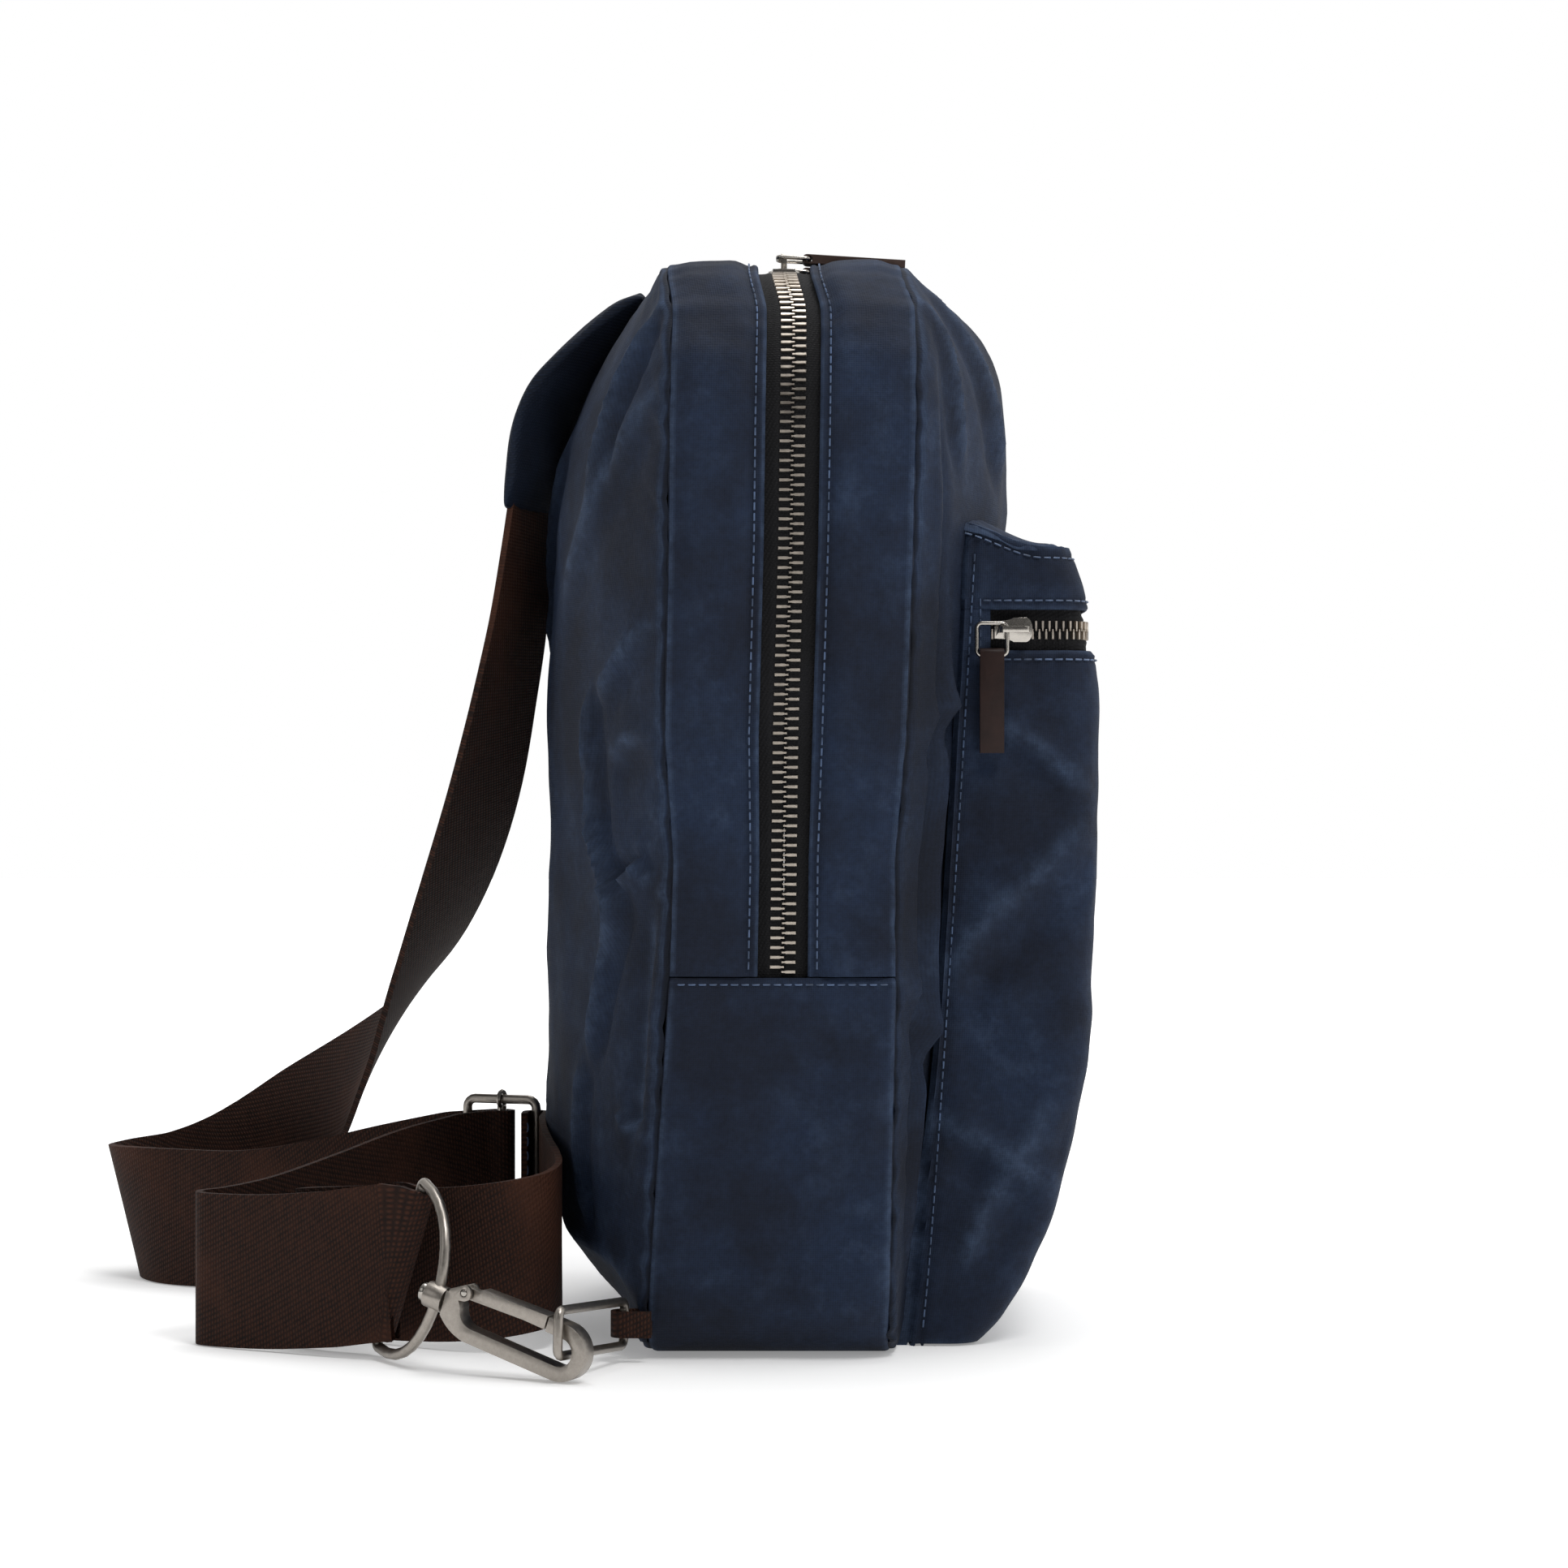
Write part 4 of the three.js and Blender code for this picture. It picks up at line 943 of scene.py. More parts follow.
def outline_point(inset, travelled):
    """A point and its outward normal on the bag's rounded outline, seen from the side. The
    way starts at the middle of the base and goes round by the strap side."""
    bottom = BOTTOM_RADIUS * math.pi / 2
    top = TOP_RADIUS * math.pi / 2
    flat = HALF_WIDTH - BOTTOM_RADIUS
    rise = HEIGHT - BOTTOM_RADIUS - TOP_RADIUS
    crown = HALF_WIDTH - TOP_RADIUS
    total = 2 * (flat + bottom + rise + top + crown)
    travelled %= total
    mirrored = travelled > total / 2
    s = total - travelled if mirrored else travelled
    if s < flat:
        place, out = (-s, 0.0), (0, -1)
    elif s < flat + bottom:
        a = (s - flat) / BOTTOM_RADIUS
        out = (-math.sin(a), -math.cos(a))
        place = (-flat + out[0] * BOTTOM_RADIUS, BOTTOM_RADIUS + out[1] * BOTTOM_RADIUS)
    elif s < flat + bottom + rise:
        place, out = (-HALF_WIDTH, BOTTOM_RADIUS + s - flat - bottom), (-1, 0)
    elif s < flat + bottom + rise + top:
        a = (s - flat - bottom - rise) / TOP_RADIUS
        out = (-math.cos(a), math.sin(a))
        place = (-crown + out[0] * TOP_RADIUS, HEIGHT - TOP_RADIUS + out[1] * TOP_RADIUS)
    else:
        place, out = (-crown + (s - flat - bottom - rise - top), HEIGHT), (0, 1)
    side = -1 if mirrored else 1
    normal = Vector((0, side * out[0], out[1]))
    return Vector((0, side * place[0], place[1])) - normal * inset, normal, total


LOOP = outline_point(0, 0)[2]
SEAM_AT = HALF_WIDTH - BOTTOM_RADIUS + BOTTOM_RADIUS * math.pi / 2 + SEAM_HEIGHT - BOTTOM_RADIUS
STITCH_INSET = 0.0031


def strip_surface(name, start, end, low, high, profile, wear_and_shade_at, rows, columns=26):
    """A strip of canvas round the outline, from start to end and across from low to high."""
    points, uvs, wear = [], [], []
    for r in range(rows):
        s = start + (end - start) * r / (rows - 1)
        base, out, _ = outline_point(0, s)
        for c in range(columns):
            x = low + (high - low) * (0.5 - 0.5 * math.cos(math.pi * c / (columns - 1)))
            height = profile(s, x)
            place = base + out * height
            place.x = x
            points.append(leaned(place))
            uvs.append((x, s))
            wear.append(wear_and_shade_at(s, x))
    return canvas_shell(name, points, grid_faces(rows, columns), uvs, wear)


def rolled_edge(distance, radius):
    """How far a folded edge drops at a distance in from it."""
    t = min(distance / radius, 1)
    return radius * (1 - math.sqrt(max(0.0, 1 - (1 - t) ** 2)))


def upper_profile(s, x):
    slot = abs(x) - HALF_SLOT
    seam = HALF_GUSSET - abs(x)
    height = 0.0008 - rolled_edge(slot, 0.0014) - rolled_edge(seam, 0.0013)
    height -= 0.0006 * math.exp(-(((slot - STITCH_INSET) / 0.0009) ** 2))
    inner = ease(slot, 0.003, 0.009) * ease(seam, 0.001, 0.008)
    height += inner * (0.0012 + 0.0013 * grain((s, x, 2), 0.03) + 0.0005 * grain((s, x, 5), 0.011))
    height += seam_puckers(s, seam, 4.0) + 0.6 * seam_puckers(s, slot, 9.0)
    return height


def upper_wear_and_shade(s, x):
    slot, seam = abs(x) - HALF_SLOT, HALF_GUSSET - abs(x)
    # Pale wear on the slot edge and seam ridge; painted shade down the seam and in the stitch groove.
    edge = 0.5 * (1 - ease(slot, 0.0006, 0.0016)) + seam_shade_and_wear(seam)
    return min(1.0, edge - 0.45 * math.exp(-(((slot - STITCH_INSET) / 0.0012) ** 2)))


def lower_profile(s, x):
    seam = HALF_GUSSET - abs(x)
    end = min(abs(s - (LOOP - SEAM_AT)), abs(s - SEAM_AT), abs(s + SEAM_AT))
    height = 0.0016 - rolled_edge(seam, 0.0022) - rolled_edge(end, 0.0018)
    height -= 0.0006 * math.exp(-(((end - 0.0022) / 0.0009) ** 2))
    on_base = 1 - ease(outline_point(0, s)[0].z, 0.004, 0.03)
    inner = ease(end, 0.003, 0.012) * ease(seam, 0.001, 0.008) * (1 - on_base)
    height += inner * (0.001 + 0.0016 * grain((s, x, 7), 0.028) + 0.0006 * grain((s, x, 8), 0.01))
    height -= on_base * 0.0014
    return height + seam_puckers(s, seam, 6.0) * (1 - on_base)


def lower_wear_and_shade(s, x):
    seam = HALF_GUSSET - abs(x)
    end = min(abs(s - SEAM_AT), abs(s + SEAM_AT))
    # Pale wear on the seam ridges; painted shade down the seams and in the stitch groove.
    edge = seam_shade_and_wear(seam) + seam_shade_and_wear(end, 0.5)
    return min(1.0, edge - 0.4 * math.exp(-(((end - 0.0022) / 0.0012) ** 2)))


def seam_stitches(name, start, end, x, height=0.0006):
    points, outs = [], []
    count = int(abs(end - start) / 0.002) + 1
    for r in range(count + 1):
        s = start + (end - start) * r / count
        place, out, _ = outline_point(0, s)
        place += out * height
        place.x = x
        points.append(leaned(place))
        outs.append(out)
    marks = marks_along(points, outs, sizes().stitch_pitch)
    return finish_piece(
        stitch_row(name, marks, sizes().stitch_length), finishes()["thread"], "bag", "canvas"
    )


class BAG_OT_gusset(bpy.types.Operator):
    """Makes the gusset: two zip strips over the top, one lower strip and their stitching"""

    bl_idname = "bag.gusset"
    bl_label = "Gusset"

    def execute(self, context):
        for name, low, high in (
            ("front", HALF_SLOT, HALF_GUSSET), ("back", -HALF_GUSSET, -HALF_SLOT),
        ):
            item = strip_surface(
                f"{name} zip strip", SEAM_AT + 0.0002, LOOP - SEAM_AT - 0.0002, low, high,
                upper_profile, upper_wear_and_shade, 420, 22,
            )
            finish_piece(item, finishes()["canvas"], "bag", "canvas", f"gusset_zip_strip_{name}")
            side = 1 if low > 0 else -1
            seam_stitches(
                f"{name} zip stitches", SEAM_AT + 0.002, LOOP - SEAM_AT - 0.002,
                side * (HALF_SLOT + STITCH_INSET), 0.0011,
            )
        item = strip_surface(
            "lower gusset", -SEAM_AT + 0.0002, SEAM_AT - 0.0002, -HALF_GUSSET, HALF_GUSSET,
            lower_profile, lower_wear_and_shade, 320, 40,
        )
        finish_piece(item, finishes()["canvas"], "bag", "canvas", "gusset_lower")
        across = [Vector((x / 1000, 0, 0)) for x in range(-36, 37, 2)]
        marks = []
        for side in (-1, 1):
            place, out, _ = outline_point(0, side * (SEAM_AT - 0.0024))
            points = [leaned(place + out * 0.0013 + x) for x in across]
            marks += marks_along(points, [out] * len(points), sizes().stitch_pitch)
        finish_piece(
            stitch_row("lower gusset stitches", marks, sizes().stitch_length),
            finishes()["thread"], "bag", "canvas",
        )
        return {"FINISHED"}


# ---------------------------------------------------------------- zips
# A tooth seen from above: along the tape's edge inwards, then its head, in shares of its length.
TOOTH = [
    (-0.5, -0.5), (0.16, -0.5), (0.3, -0.3), (0.5, -0.34),
    (0.5, 0.34), (0.3, 0.3), (0.16, 0.5), (-0.5, 0.5),
]


def add_tooth(points, faces, place, along, across, out, size):
    """A tooth: size is its length across, its thickness along the chain and its height."""
    length, thick, height = size
    start = len(points)
    for level, scale in ((-0.5, 1.0), (0.28, 1.0), (0.5, 0.78)):
        for u, v in TOOTH:
            points.append(
                place + across * (u * length * (0.94 if scale < 1 else 1))
                + along * (v * thick * scale) + out * (level * height)
            )
    n = len(TOOTH)
    for ring in range(2):
        for k in range(n):
            a, b = start + ring * n + k, start + ring * n + (k + 1) % n
            faces.append((a, b, b + n, a + n))
    faces.append(tuple(start + k for k in range(n))[::-1])
    faces.append(tuple(start + 2 * n + k for k in range(n)))


def teeth_mesh(name, path_at, total, pitch, width, height):
    """Both rows of teeth, meshed with each other. path_at gives place, along, across, out."""
    points, faces = [], []
    count = int(total / pitch)
    for i in range(count * 2):
        place, along, across, out = path_at((i + 0.5) * total / (count * 2))
        side = 1 if i % 2 else -1
        size = (width * 0.56, pitch * 0.36, height)
        add_tooth(points, faces, place + across * (side * width * 0.22), along, across * -side, out, size)
    return smooth(mesh_object(name, points, faces), 35)


# How far the tape runs on under the lower gusset at each end.
TAPE_HIDDEN = 0.006


def main_path(s):
    place, out, _ = outline_point(0, SEAM_AT + 0.0008 + s)
    ahead = outline_point(0, SEAM_AT + 0.0018 + s)[0]
    along = (ahead - place).normalized()
    place = leaned(place - out * (CHAIN_RECESS + 0.0014))
    return place, along, out.cross(along).normalized(), out


def tape_strip(name, start, end, low, high, height, rows, columns=14):
    """Tape beside a chain: flat, with a raised bead of weaving along the teeth."""
    points, uvs = [], []
    for r in range(rows):
        s = start + (end - start) * r / (rows - 1)
        base, out, _ = outline_point(0, s)
        for c in range(columns):
            x = low + (high - low) * c / (columns - 1)
            bead = 0.0005 * math.exp(-(((abs(x) - 0.0052) / 0.0008) ** 2))
            place = base + out * (height + bead + 0.0001 * grain((s, x, 1), 0.006))
            place.x = x
            points.append(leaned(place))
            uvs.append((x, s))
    return canvas_shell(name, points, grid_faces(rows, columns), uvs, [0.0] * len(points), 0.0008)


class BAG_OT_main_zip(bpy.types.Operator):
    """Makes the main zip's tapes and its two rows of teeth"""

    bl_idname = "bag.main_zip"
    bl_label = "Main zip"

    def execute(self, context):
        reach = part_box("main_zip_tape_front")[1].x
        for name, start, end in (("front", 0.0001, reach), ("back", -reach, -0.0001)):
            item = tape_strip(
                f"{name} main tape", SEAM_AT - TAPE_HIDDEN, LOOP - SEAM_AT + TAPE_HIDDEN,
                start, end, -0.0021, 420,
            )
            finish_piece(item, finishes()["tape"], "bag", "zip_tape", f"main_zip_tape_{name}")
        chain = size_of("main_zip_chain").x
        item = teeth_mesh(
            "main teeth", main_path, LOOP - 2 * SEAM_AT - 0.0016, sizes().main_tooth_pitch, chain, 0.0026,
        )
        finish_piece(item, finishes()["teeth"], "bag", "nickel", "main_zip_chain")
        return {"FINISHED"}


# ---------------------------------------------------------------- front pocket
HALF_POCKET = POCKET_HIGH.y
POCKET_HEIGHT = POCKET_HIGH.z
POCKET_REACH = POCKET_HIGH.x
POCKET_FLOOR = POCKET_LOW.z - 0.0015
POCKET_HEEL = 0.0048
POCKET_EDGE_LEVEL = 0.262
POCKET_SLOT_LOW = POCKET_ZIP_HEIGHT - POCKET_SLOT / 2
POCKET_SLOT_HIGH = POCKET_ZIP_HEIGHT + POCKET_SLOT / 2
POCKET_STITCH_INSET = 0.0035
POCKET_TAPE = 0.011


def pocket_front_at(z):
    below = max(0, 1 - z / POCKET_WIDEST_AT) ** 4 * POCKET_FOOT_PULL
    above = max(0, (z - POCKET_WIDEST_AT) / (POCKET_HEIGHT - POCKET_WIDEST_AT)) ** 3
    return POCKET_REACH - below - above * POCKET_SHOULDER_PULL


def front_face_at(y, z):
    return PANEL_EDGE + front_bulge_at(y, z)


def pocket_back_at(y, z):
    return front_face_at(y, z) + POCKET_BACK_GAP


def pocket_ring(z, inset):
    """The pocket's plan at a height: places and outward normals from its back edge on the
    strap side, round the front, to its other back edge."""
    front = pocket_front_at(z) - inset
    half = HALF_POCKET - inset
    radius = POCKET_RADIUS - inset
    start = pocket_back_at(half, z) - POCKET_HEEL * (1 - ease(z, 0.0, 0.1))
    rows = []
    for i in range(22):
        x = start + (front - radius - start) * i / 22
        rows.append((Vector((x, -half, z)), Vector((0, -1, 0))))
    for i in range(9):
        a = math.pi / 2 * i / 8
        out = Vector((math.sin(a), -math.cos(a), 0))
        rows.append((Vector((front - radius, -half + radius, z)) + out * radius, out))
    for i in range(1, 30):
        y = -(half - radius) * math.cos(math.pi * i / 60)
        rows.append((Vector((front, y, z)), Vector((1, 0, 0))))
    rows.append((Vector((front, 0, z)), Vector((1, 0, 0))))
    other = [(Vector((p.x, -p.y, p.z)), Vector((n.x, -n.y, 0))) for p, n in rows[-2::-1]]
    return rows + other


def pocket_lift(place, out, z):
    """Folds, seam rolls and stitch grooves on the pocket's wall at height z, with its pale wear and painted
    shade in the stitch grooves.
    """
    side = abs(out.y) > 0.7
    lift, worn = folded(place.x, z, POCKET_SIDE_FOLDS) if side and place.y < 0 else (0.0, 0.0)
    back_edge = place.x - pocket_back_at(place.y, z) if side else 1.0
    top = pocket_top_z(place) - z
    floor = z - POCKET_FLOOR
    slot = 1.0
    if place.x > POCKET_SLOT_START - 0.003:
        slot = min(abs(z - POCKET_SLOT_LOW), abs(z - POCKET_SLOT_HIGH))
    rim = min(back_edge, top, slot)
    free = ease(rim, 0.002, 0.014)
    spot = (place.x, place.y, z)
    lift = free * (lift + 0.0012 * grain(spot, 0.033, 2.2) + 0.0005 * grain(spot, 0.012, 4))
    lift += seam_puckers(z, back_edge, 11.0) + seam_puckers(place.x + place.y, min(top, slot), 13.0)
    lift -= rolled_edge(back_edge, 0.0025) + rolled_edge(slot, 0.0012)
    for gap, depth in (
        (back_edge - POCKET_STITCH_INSET, 0.0007), (slot - 0.003, 0.0004), (top - 0.004, 0.0005),
    ):
        lift -= depth * math.exp(-((gap / 0.0009) ** 2))
    edge = max(
        0.0 if side or abs(out.x) > 0.999 else 0.16,
        0.5 * (1 - ease(back_edge, 0.0008, 0.0022)),
        0.45 * (1 - ease(slot, 0.0006, 0.0016)),
        0.45 * (1 - ease(top, 0.0008, 0.0022)),
        0.3 * (1 - ease(floor, 0.001, 0.006)),
    )
    # Painted shade in the stitch grooves.
    for gap in (back_edge - POCKET_STITCH_INSET, slot - 0.003, top - 0.0045):
        edge -= 0.45 * math.exp(-((gap / 0.0008) ** 2))
    return lift, min(1.0, 0.75 * worn + edge)


def pocket_top_z(place):
    """The upper edge of the pocket's wall, which rises towards the bag."""
    return POCKET_HEIGHT - 0.0078 + 0.0085 * (1 - ease(place.x, 0.055, 0.085))


def pocket_wall(z_low, z_high, rows):
    """The wall between two heights; z_high left out means the pocket's top edge."""
    points, uvs, wear = [], [], []
    ring_at_top = pocket_ring(POCKET_EDGE_LEVEL, 0.0)
    for r in range(rows):
        t = r / (rows - 1)
        level = z_low + ((z_high or POCKET_EDGE_LEVEL) - z_low) * t
        travelled, last = 0.0, None
        for k, (place, out) in enumerate(pocket_ring(level, 0.0)):
            top = z_high or pocket_top_z(ring_at_top[k][0]) - 0.0008
            place.z = z_low + (top - z_low) * t
            travelled += (place - last).length if last else 0
            last = place
            lift, worn = pocket_lift(place, out, place.z)
            tuck = 0.004 * (1 - ease(place.z - POCKET_FLOOR, 0, 0.01))
            spot = place + out * (lift - tuck * 0.5)
            spot.z = max(spot.z, 0.0008)
            points.append(spot)
            uvs.append((travelled, place.z))
            wear.append(worn)
    return points, grid_faces(rows, len(ring_at_top)), uvs, wear


def pocket_top(rows=40, columns=90):
    """The pocket's domed top, from the front panel out to the wall's upper edge."""
    points, uvs, wear = [], [], []
    front = pocket_front_at(POCKET_EDGE_LEVEL)
    for r in range(rows):
        t = math.sin(math.pi / 2 * r / (rows - 1))
        for c in range(columns):
            y = HALF_POCKET * math.sin(math.pi / 2 * (-1 + 2 * c / (columns - 1)))
            reach = front - corner_loss(HALF_POCKET - abs(y), POCKET_RADIUS)
            start = pocket_back_at(y, POCKET_HEIGHT - 0.01) - 0.001
            x = start + (reach - start) * t
            near = min(HALF_POCKET - abs(y), reach - x)
            z = pocket_top_z(Vector((x, y, 0))) + 0.0035 * ease(near, 0, 0.025)
            z += ease(near, 0, 0.008) * 0.0012 * grain((x, y, 1), 0.022, 8)
            z += seam_puckers(x + y, near, 17.0) - rolled_edge(near, 0.0028)
            z -= 0.0005 * math.exp(-(((near - POCKET_STITCH_INSET) / 0.0009) ** 2))
            points.append(Vector((x, y, z)))
            uvs.append((x, y))
            wear.append(min(1.0, 0.25 + 0.5 * (1 - ease(near, 0.001, 0.006))))
    return points, [f[::-1] for f in grid_faces(rows, columns)], uvs, wear


def pocket_pieces():
    """The pocket's walls below, above and beside the zip, and its top, as one mesh."""
    lower = pocket_wall(POCKET_FLOOR, POCKET_SLOT_LOW, 150)
    upper = pocket_wall(POCKET_SLOT_HIGH, None, 30)
    parts = [lower, upper, pocket_top()]
    columns = len(pocket_ring(POCKET_ZIP_HEIGHT, 0))
    ring_low, ring_high = lower[0][-columns:], upper[0][:columns]
    for side in (-1, 1):
        group = [
            i for i, p in enumerate(ring_low)
            if p.x <= POCKET_SLOT_START + 0.0005 and p.y * side > 0.06
        ]
        points, uvs = [], []
        for r in range(9):
            for i in group:
                spot = ring_low[i].lerp(ring_high[i], r / 8)
                points.append(spot + Vector((0, side * 0.0002, 0)))
                uvs.append((ring_low[i].x, POCKET_SLOT_LOW + r / 8 * POCKET_SLOT))
        parts.append((points, grid_faces(9, len(group)), uvs, [0.15] * len(points)))
    points, faces, uvs, wear = [], [], [], []
    for part_points, part_faces, part_uvs, part_wear in parts:
        start = len(points)
        points += part_points
        faces += [tuple(start + k for k in face) for face in part_faces]
        uvs += part_uvs
        wear += part_wear
    return points, faces, uvs, wear


def pocket_line(z, lift):
    ring = pocket_ring(z, 0.0)
    return [p + n * lift for p, n in ring], [n for _, n in ring]


def pocket_marks(pitch):
    """The pocket's stitches: beside the zip, round its ends, up the back edges and the top."""
    marks = []
    low, high = POCKET_SLOT_LOW - 0.003, POCKET_SLOT_HIGH + 0.003
    for z in (low, high):
        places, outs = pocket_line(z, 0.0002)
        kept = [i for i, p in enumerate(places) if p.x > POCKET_SLOT_START - 0.004]
        marks += marks_along([places[i] for i in kept], [outs[i] for i in kept], pitch)
    for side in (-1, 1):
        out = Vector((0, side, 0))
        x, y = POCKET_SLOT_START - POCKET_STITCH_INSET, side * (HALF_POCKET + 0.0003)
        box = [Vector((x, y, low + (high - low) * i / 8)) for i in range(9)]
        marks += marks_along(box, [out] * len(box), pitch)
        edge = []
        for i in range(120):
            z = 0.006 + (POCKET_HEIGHT - 0.018) * i / 119
            x = pocket_back_at(HALF_POCKET, z) + 0.0036
            edge.append(Vector((x, side * (HALF_POCKET + 0.0001), z)))
        marks += marks_along(edge, [out] * len(edge), pitch)
    places, outs = pocket_line(0.259, 0.0001)
    for place in places:
        place.z = pocket_top_z(place) - 0.0045
    return marks + marks_along(places, outs, pitch)


class BAG_OT_pocket(bpy.types.Operator):
    """Makes the front pocket with its zip, tapes and stitching"""

    bl_idname = "bag.pocket"
    bl_label = "Pocket"

    def execute(self, context):
        item = canvas_shell("front pocket", *pocket_pieces(), thickness=0.0016)
        finish_piece(item, finishes()["canvas"], "bag", "canvas", "pocket_shell")
        marks = pocket_marks(sizes().stitch_pitch)
        row = stitch_row("pocket stitches", marks, sizes().stitch_length)
        finish_piece(row, finishes()["thread"], "bag", "canvas")
        self.add_zip()
        return {"FINISHED"}

    def add_zip(self):
        chain = size_of("pocket_zip_chain").z
        inset = CHAIN_RECESS + 0.0012
        ring = [(p, n) for p, n in pocket_ring(POCKET_ZIP_HEIGHT, inset) if p.x > POCKET_SLOT_START]
        ring = [(Vector((POCKET_SLOT_START, ring[0][0].y, POCKET_ZIP_HEIGHT)), ring[0][1]), *ring]
        ring.append((Vector((POCKET_SLOT_START, -ring[0][0].y, POCKET_ZIP_HEIGHT)), ring[-1][1]))
        lengths = [0.0]
        for (a, _), (b, _) in zip(ring, ring[1:]):
            lengths.append(lengths[-1] + (b - a).length)

        def path_at(s):
            i = min(len(ring) - 2, max(0, sum(length <= s for length in lengths) - 1))
            t = (s - lengths[i]) / max(lengths[i + 1] - lengths[i], 1e-9)
            out = ring[i][1].lerp(ring[i + 1][1], t).normalized()
            along = (ring[i + 1][0] - ring[i][0]).normalized()
            return ring[i][0].lerp(ring[i + 1][0], t), along, UP, out

        teeth = teeth_mesh("pocket teeth", path_at, lengths[-1], sizes().pocket_tooth_pitch, chain, 0.0022)
        finish_piece(teeth, finishes()["teeth"], "bag", "nickel", "pocket_zip_chain")
        wall = pocket_ring(POCKET_ZIP_HEIGHT, CANVAS + 0.0008)
        wall = [(p, n) for p, n in wall if p.x > POCKET_SLOT_START - 0.004]
        front = pocket_front_at(POCKET_ZIP_HEIGHT)
        for name, near, far in (("upper", 0.0001, POCKET_TAPE), ("lower", -POCKET_TAPE, -0.0001)):
            points, uvs = [], []
            for place, out in wall:
                for c in range(10):
                    drop = near + (far - near) * c / 9
                    bead = 0.0005 * math.exp(-(((abs(drop) - 0.0038) / 0.0008) ** 2))
                    shift = (pocket_front_at(POCKET_ZIP_HEIGHT + drop) - front) * max(0, out.x)
                    points.append(place + UP * drop + out * bead + Vector((shift, 0, 0)))
                    uvs.append((drop, place.x - place.y))
            faces = [f[::-1] for f in grid_faces(len(wall), 10)]
            flat = [0.0] * len(points)
            tape = canvas_shell(f"{name} pocket tape", points, faces, uvs, flat, 0.0008)
            finish_piece(tape, finishes()["tape"], "bag", "zip_tape", f"pocket_zip_tape_{name}")


# ---------------------------------------------------------------- hardware
def cast_copy(node_name, name, material, slot_name, body, bevel=0.0, angle=36):
    """A rounded, smooth-shaded piece made from a frame node's own form."""
    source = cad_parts[node_name]
    item = bpy.data.objects.new(name.replace(" ", "_"), source.data.copy())
    item.data.transform(source.matrix_world)
    bpy.context.scene.collection.objects.link(item)
    pick(item)
    bpy.ops.object.mode_set(mode="EDIT")
    bpy.ops.mesh.select_all(action="SELECT")
    bpy.ops.mesh.remove_doubles(threshold=0.00002)
    bpy.ops.mesh.tris_convert_to_quads()
    bpy.ops.object.mode_set(mode="OBJECT")
    if bevel:
        apply_modifier(
            item, "BEVEL", width=bevel, segments=2, limit_method="ANGLE",
            angle_limit=math.radians(angle), use_clamp_overlap=True,
        )
    smooth(item, angle)
    return finish_piece(item, finishes()[material], body, slot_name, node_name)


class BAG_OT_hardware(bpy.types.Operator):
    """Makes the slide adjuster, the swivel D-ring, the snap hook and the side ring"""

    bl_idname = "bag.hardware"
    bl_label = "Hardware"

    def execute(self, context):
        cast_copy("adjuster_frame", "adjuster frame", "satin", "satin_nickel", "bag")
        cast_copy("adjuster_bar", "adjuster bar", "satin", "satin_nickel", "bag")
        cast_copy("d_ring", "swivel D-ring", "satin", "satin_nickel", "strap_ring", 0.00025, 50)
        cast_copy("swivel_rivet", "swivel rivet", "nickel", "nickel", "snap_hook", 0.0003, 50)
        cast_copy("hook_body", "hook body", "satin", "satin_nickel", "snap_hook", 0.0007, 40)
        cast_copy("hook_gate", "hook gate", "satin", "satin_nickel", "gate", 0.0005, 40)
        cast_copy("gate_pin", "gate pin", "nickel", "nickel", "snap_hook", 0.0002, 50)
        cast_copy("corner_ring", "side ring", "satin", "satin_nickel", "side_ring")
        return {"FINISHED"}


SLIDERS = (
    ("main_zip_near", "main_near_slider", "main_near_pull"),
    ("main_zip_far", "main_far_slider", "main_far_pull"),
    ("pocket_zip", "pocket_slider", "pocket_pull"),
)


class BAG_OT_sliders(bpy.types.Operator):
    """Makes the three zip sliders with their wire bails and leather pulls"""

    bl_idname = "bag.sliders"
    bl_label = "Sliders and pulls"

    def execute(self, context):
        for prefix, slider_body, pull_body in SLIDERS:
            cast_copy(f"{prefix}_slider", f"{prefix} slider", "nickel", "nickel", slider_body, 0.0003, 40)
            cast_copy(f"{prefix}_bail", f"{prefix} bail", "nickel", "nickel", pull_body, 0, 50)
            pull = cast_copy(f"{prefix}_pull", f"{prefix} pull", "leather", "leather", pull_body, 0.0004, 40)
            pull.data.materials.append(finishes()["leather_edge"])
            wide = Vector((0, 1, 0)) if prefix != "pocket_zip" else Vector((1, 0, 0))
            for polygon in pull.data.polygons:
                if abs(polygon.normal.dot(wide)) > 0.9:
                    polygon.material_index = 1
        return {"FINISHED"}


class BAG_OT_tab(bpy.types.Operator):
    """Makes the short webbing tab that holds the side ring"""

    bl_idname = "bag.tab"
    bl_label = "Ring tab"

    def execute(self, context):
        item = cast_copy("corner_tab", "ring tab", "webbing", "webbing", "bag", 0.0004, 40)
        layer = item.data.uv_layers.new(name="cloth")
        for loop in item.data.loops:
            spot = item.data.vertices[loop.vertex_index].co
            layer.data[loop.index].uv = (spot.z, spot.x + spot.y)
        return {"FINISHED"}


class BAG_OT_inside(bpy.types.Operator):
    """Gives the lining and the back foam, which the canvas hides, their finishes"""

    bl_idname = "bag.inside"
    bl_label = "Inside"

    def execute(self, context):
        for name in (
            "lining_back", "lining_front", "lining_gusset_back", "lining_gusset_front",
            "lining_gusset_lower", "back_foam",
        ):
            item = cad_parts[name]
            item.data.materials.clear()
            item.data.materials.append(finishes()["foam" if name == "back_foam" else "lining"])
        return {"FINISHED"}


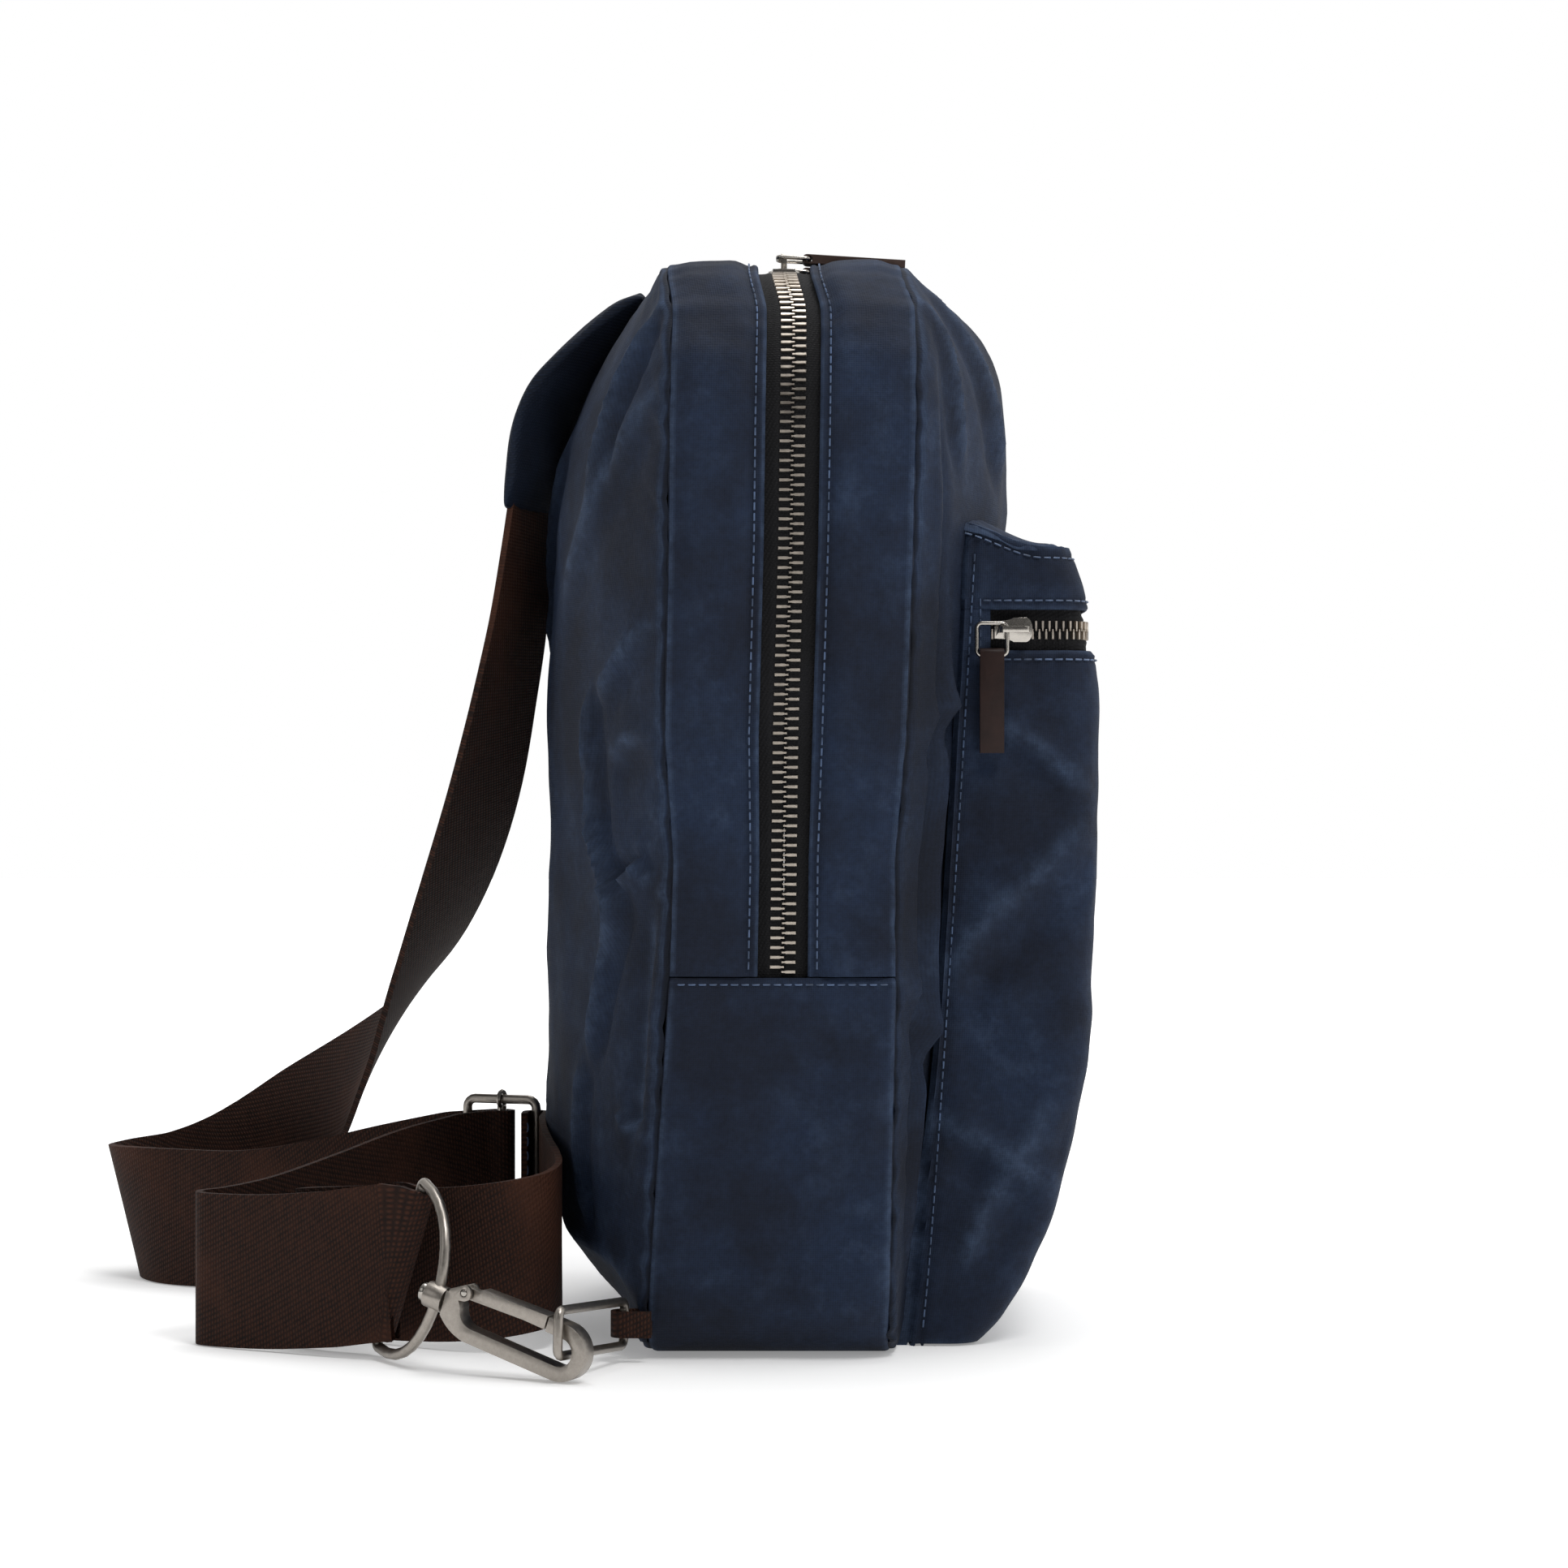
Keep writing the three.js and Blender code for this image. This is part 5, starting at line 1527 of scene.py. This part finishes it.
# ---------------------------------------------------------------- shoulder pad
def pad_ring(width, thickness, count=36):
    """The pad's section: flat faces that meet in a thin sewn edge."""
    out = []
    for i in range(count):
        a = 2 * math.pi * i / count
        across = math.copysign(abs(math.cos(a)) ** 0.55, math.cos(a))
        deep = math.copysign(abs(math.sin(a)) ** 0.8, math.sin(a))
        out.append((across * width / 2, deep * thickness / 2))
    return out


MOST_SWELL = 0.0012


def inflate(item):
    """Blows the closed cloth up a little, as its foam does, and keeps the result."""
    pick(item)
    modifier = item.modifiers.new("Cloth", "CLOTH")
    cloth = modifier.settings
    cloth.quality = 6
    cloth.use_pressure = True
    cloth.uniform_pressure_force = 3.0
    cloth.tension_stiffness = 20
    cloth.bending_stiffness = 1.5
    cloth.effector_weights.gravity = 0
    modifier.point_cache.frame_start = 1
    modifier.point_cache.frame_end = 16
    rest = [v.co.copy() for v in item.data.vertices]
    for step in range(1, 17):
        bpy.context.scene.frame_set(step)
    bpy.ops.object.modifier_apply(modifier=modifier.name)
    bpy.context.scene.frame_set(1)
    for vertex, start in zip(item.data.vertices, rest):
        moved = vertex.co - start
        if moved.length > MOST_SWELL:
            vertex.co = start + moved.normalized() * MOST_SWELL
    return item


class BAG_OT_pad(bpy.types.Operator):
    """Makes the padded canvas sleeve at the strap's upper end"""

    bl_idname = "bag.pad"
    bl_label = "Shoulder pad"

    def execute(self, context):
        s = sizes()
        frames = evenly(frames_along(stations(PAD_ROUTE, 6)), 0.002)
        ring = pad_ring(s.pad_width, s.pad_thickness)
        points = []
        count = len(frames)
        for i, (place, wide, out, travelled) in enumerate(frames):
            end = min(i, count - 1 - i)
            thin = 0.55 + 0.45 * ease(end, 0, 5)
            for across, deep in ring:
                dent = 1 - 0.18 * math.exp(-(((abs(across) - s.pad_width * 0.44) / 0.002) ** 2))
                wave = 1 + 0.06 * grain((across, travelled, 3), 0.012)
                points.append(place + wide * across + out * (deep * thin * dent * wave))
        columns = len(ring)
        faces = grid_faces(count, columns, close_columns=True)
        last = (count - 1) * columns
        faces += [tuple(range(columns))[::-1], tuple(last + i for i in range(columns))]
        item = face_outwards(mesh_object("shoulder pad", points, faces))
        apply_modifier(item, "REMESH", mode="VOXEL", voxel_size=0.0022)
        inflate(item)
        apply_modifier(item, "SUBSURF", levels=1, render_levels=1)
        layer = item.data.uv_layers.new(name="cloth")
        for loop in item.data.loops:
            spot = item.data.vertices[loop.vertex_index].co
            layer.data[loop.index].uv = (spot.y, spot.z)
        field = item.data.attributes.new("wear", "FLOAT", "POINT")
        field.data.foreach_set("value", [0.12] * len(item.data.vertices))
        smooth(item, 60)
        dark = finishes()["pad"]
        finish_piece(item, dark, "bag", "canvas", "pad_foam", "pad_cover_outer", "pad_cover_inner")
        return {"FINISHED"}


# ---------------------------------------------------------------- sidebar and running order
class BAG_PT_panel(bpy.types.Panel):
    """Sizes, colours and one button for each group of pieces"""

    bl_idname = "BAG_PT_panel"
    bl_label = "Crossbody bag"
    bl_space_type = "VIEW_3D"
    bl_region_type = "UI"
    bl_category = "Bag"

    def draw(self, context):
        for group in (context.scene.bag_sizes, context.scene.bag_colours):
            box = self.layout.box()
            for name in group.bl_rna.properties.keys():
                if name not in ("rna_type", "name"):
                    box.prop(group, name)
        for operator in OPERATORS:
            self.layout.operator(operator.bl_idname)


OPERATORS = (
    BAG_OT_stage, BAG_OT_strap, BAG_OT_pad, BAG_OT_panels, BAG_OT_gusset, BAG_OT_main_zip,
    BAG_OT_pocket, BAG_OT_sliders, BAG_OT_hardware, BAG_OT_tab, BAG_OT_inside,
)
CLASSES = (BagSizes, BagColours, *OPERATORS, BAG_PT_panel)


def register():
    for item in CLASSES:
        bpy.utils.register_class(item)
    bpy.types.Scene.bag_sizes = PointerProperty(type=BagSizes)
    bpy.types.Scene.bag_colours = PointerProperty(type=BagColours)


def unregister():
    del bpy.types.Scene.bag_colours
    del bpy.types.Scene.bag_sizes
    for item in reversed(CLASSES):
        bpy.utils.unregister_class(item)


def main():
    register()
    for operator in OPERATORS:
        name = operator.bl_idname.split(".")[1]
        getattr(bpy.ops.bag, name)()
    clear_selection()


if __name__ == "__main__":
    main()
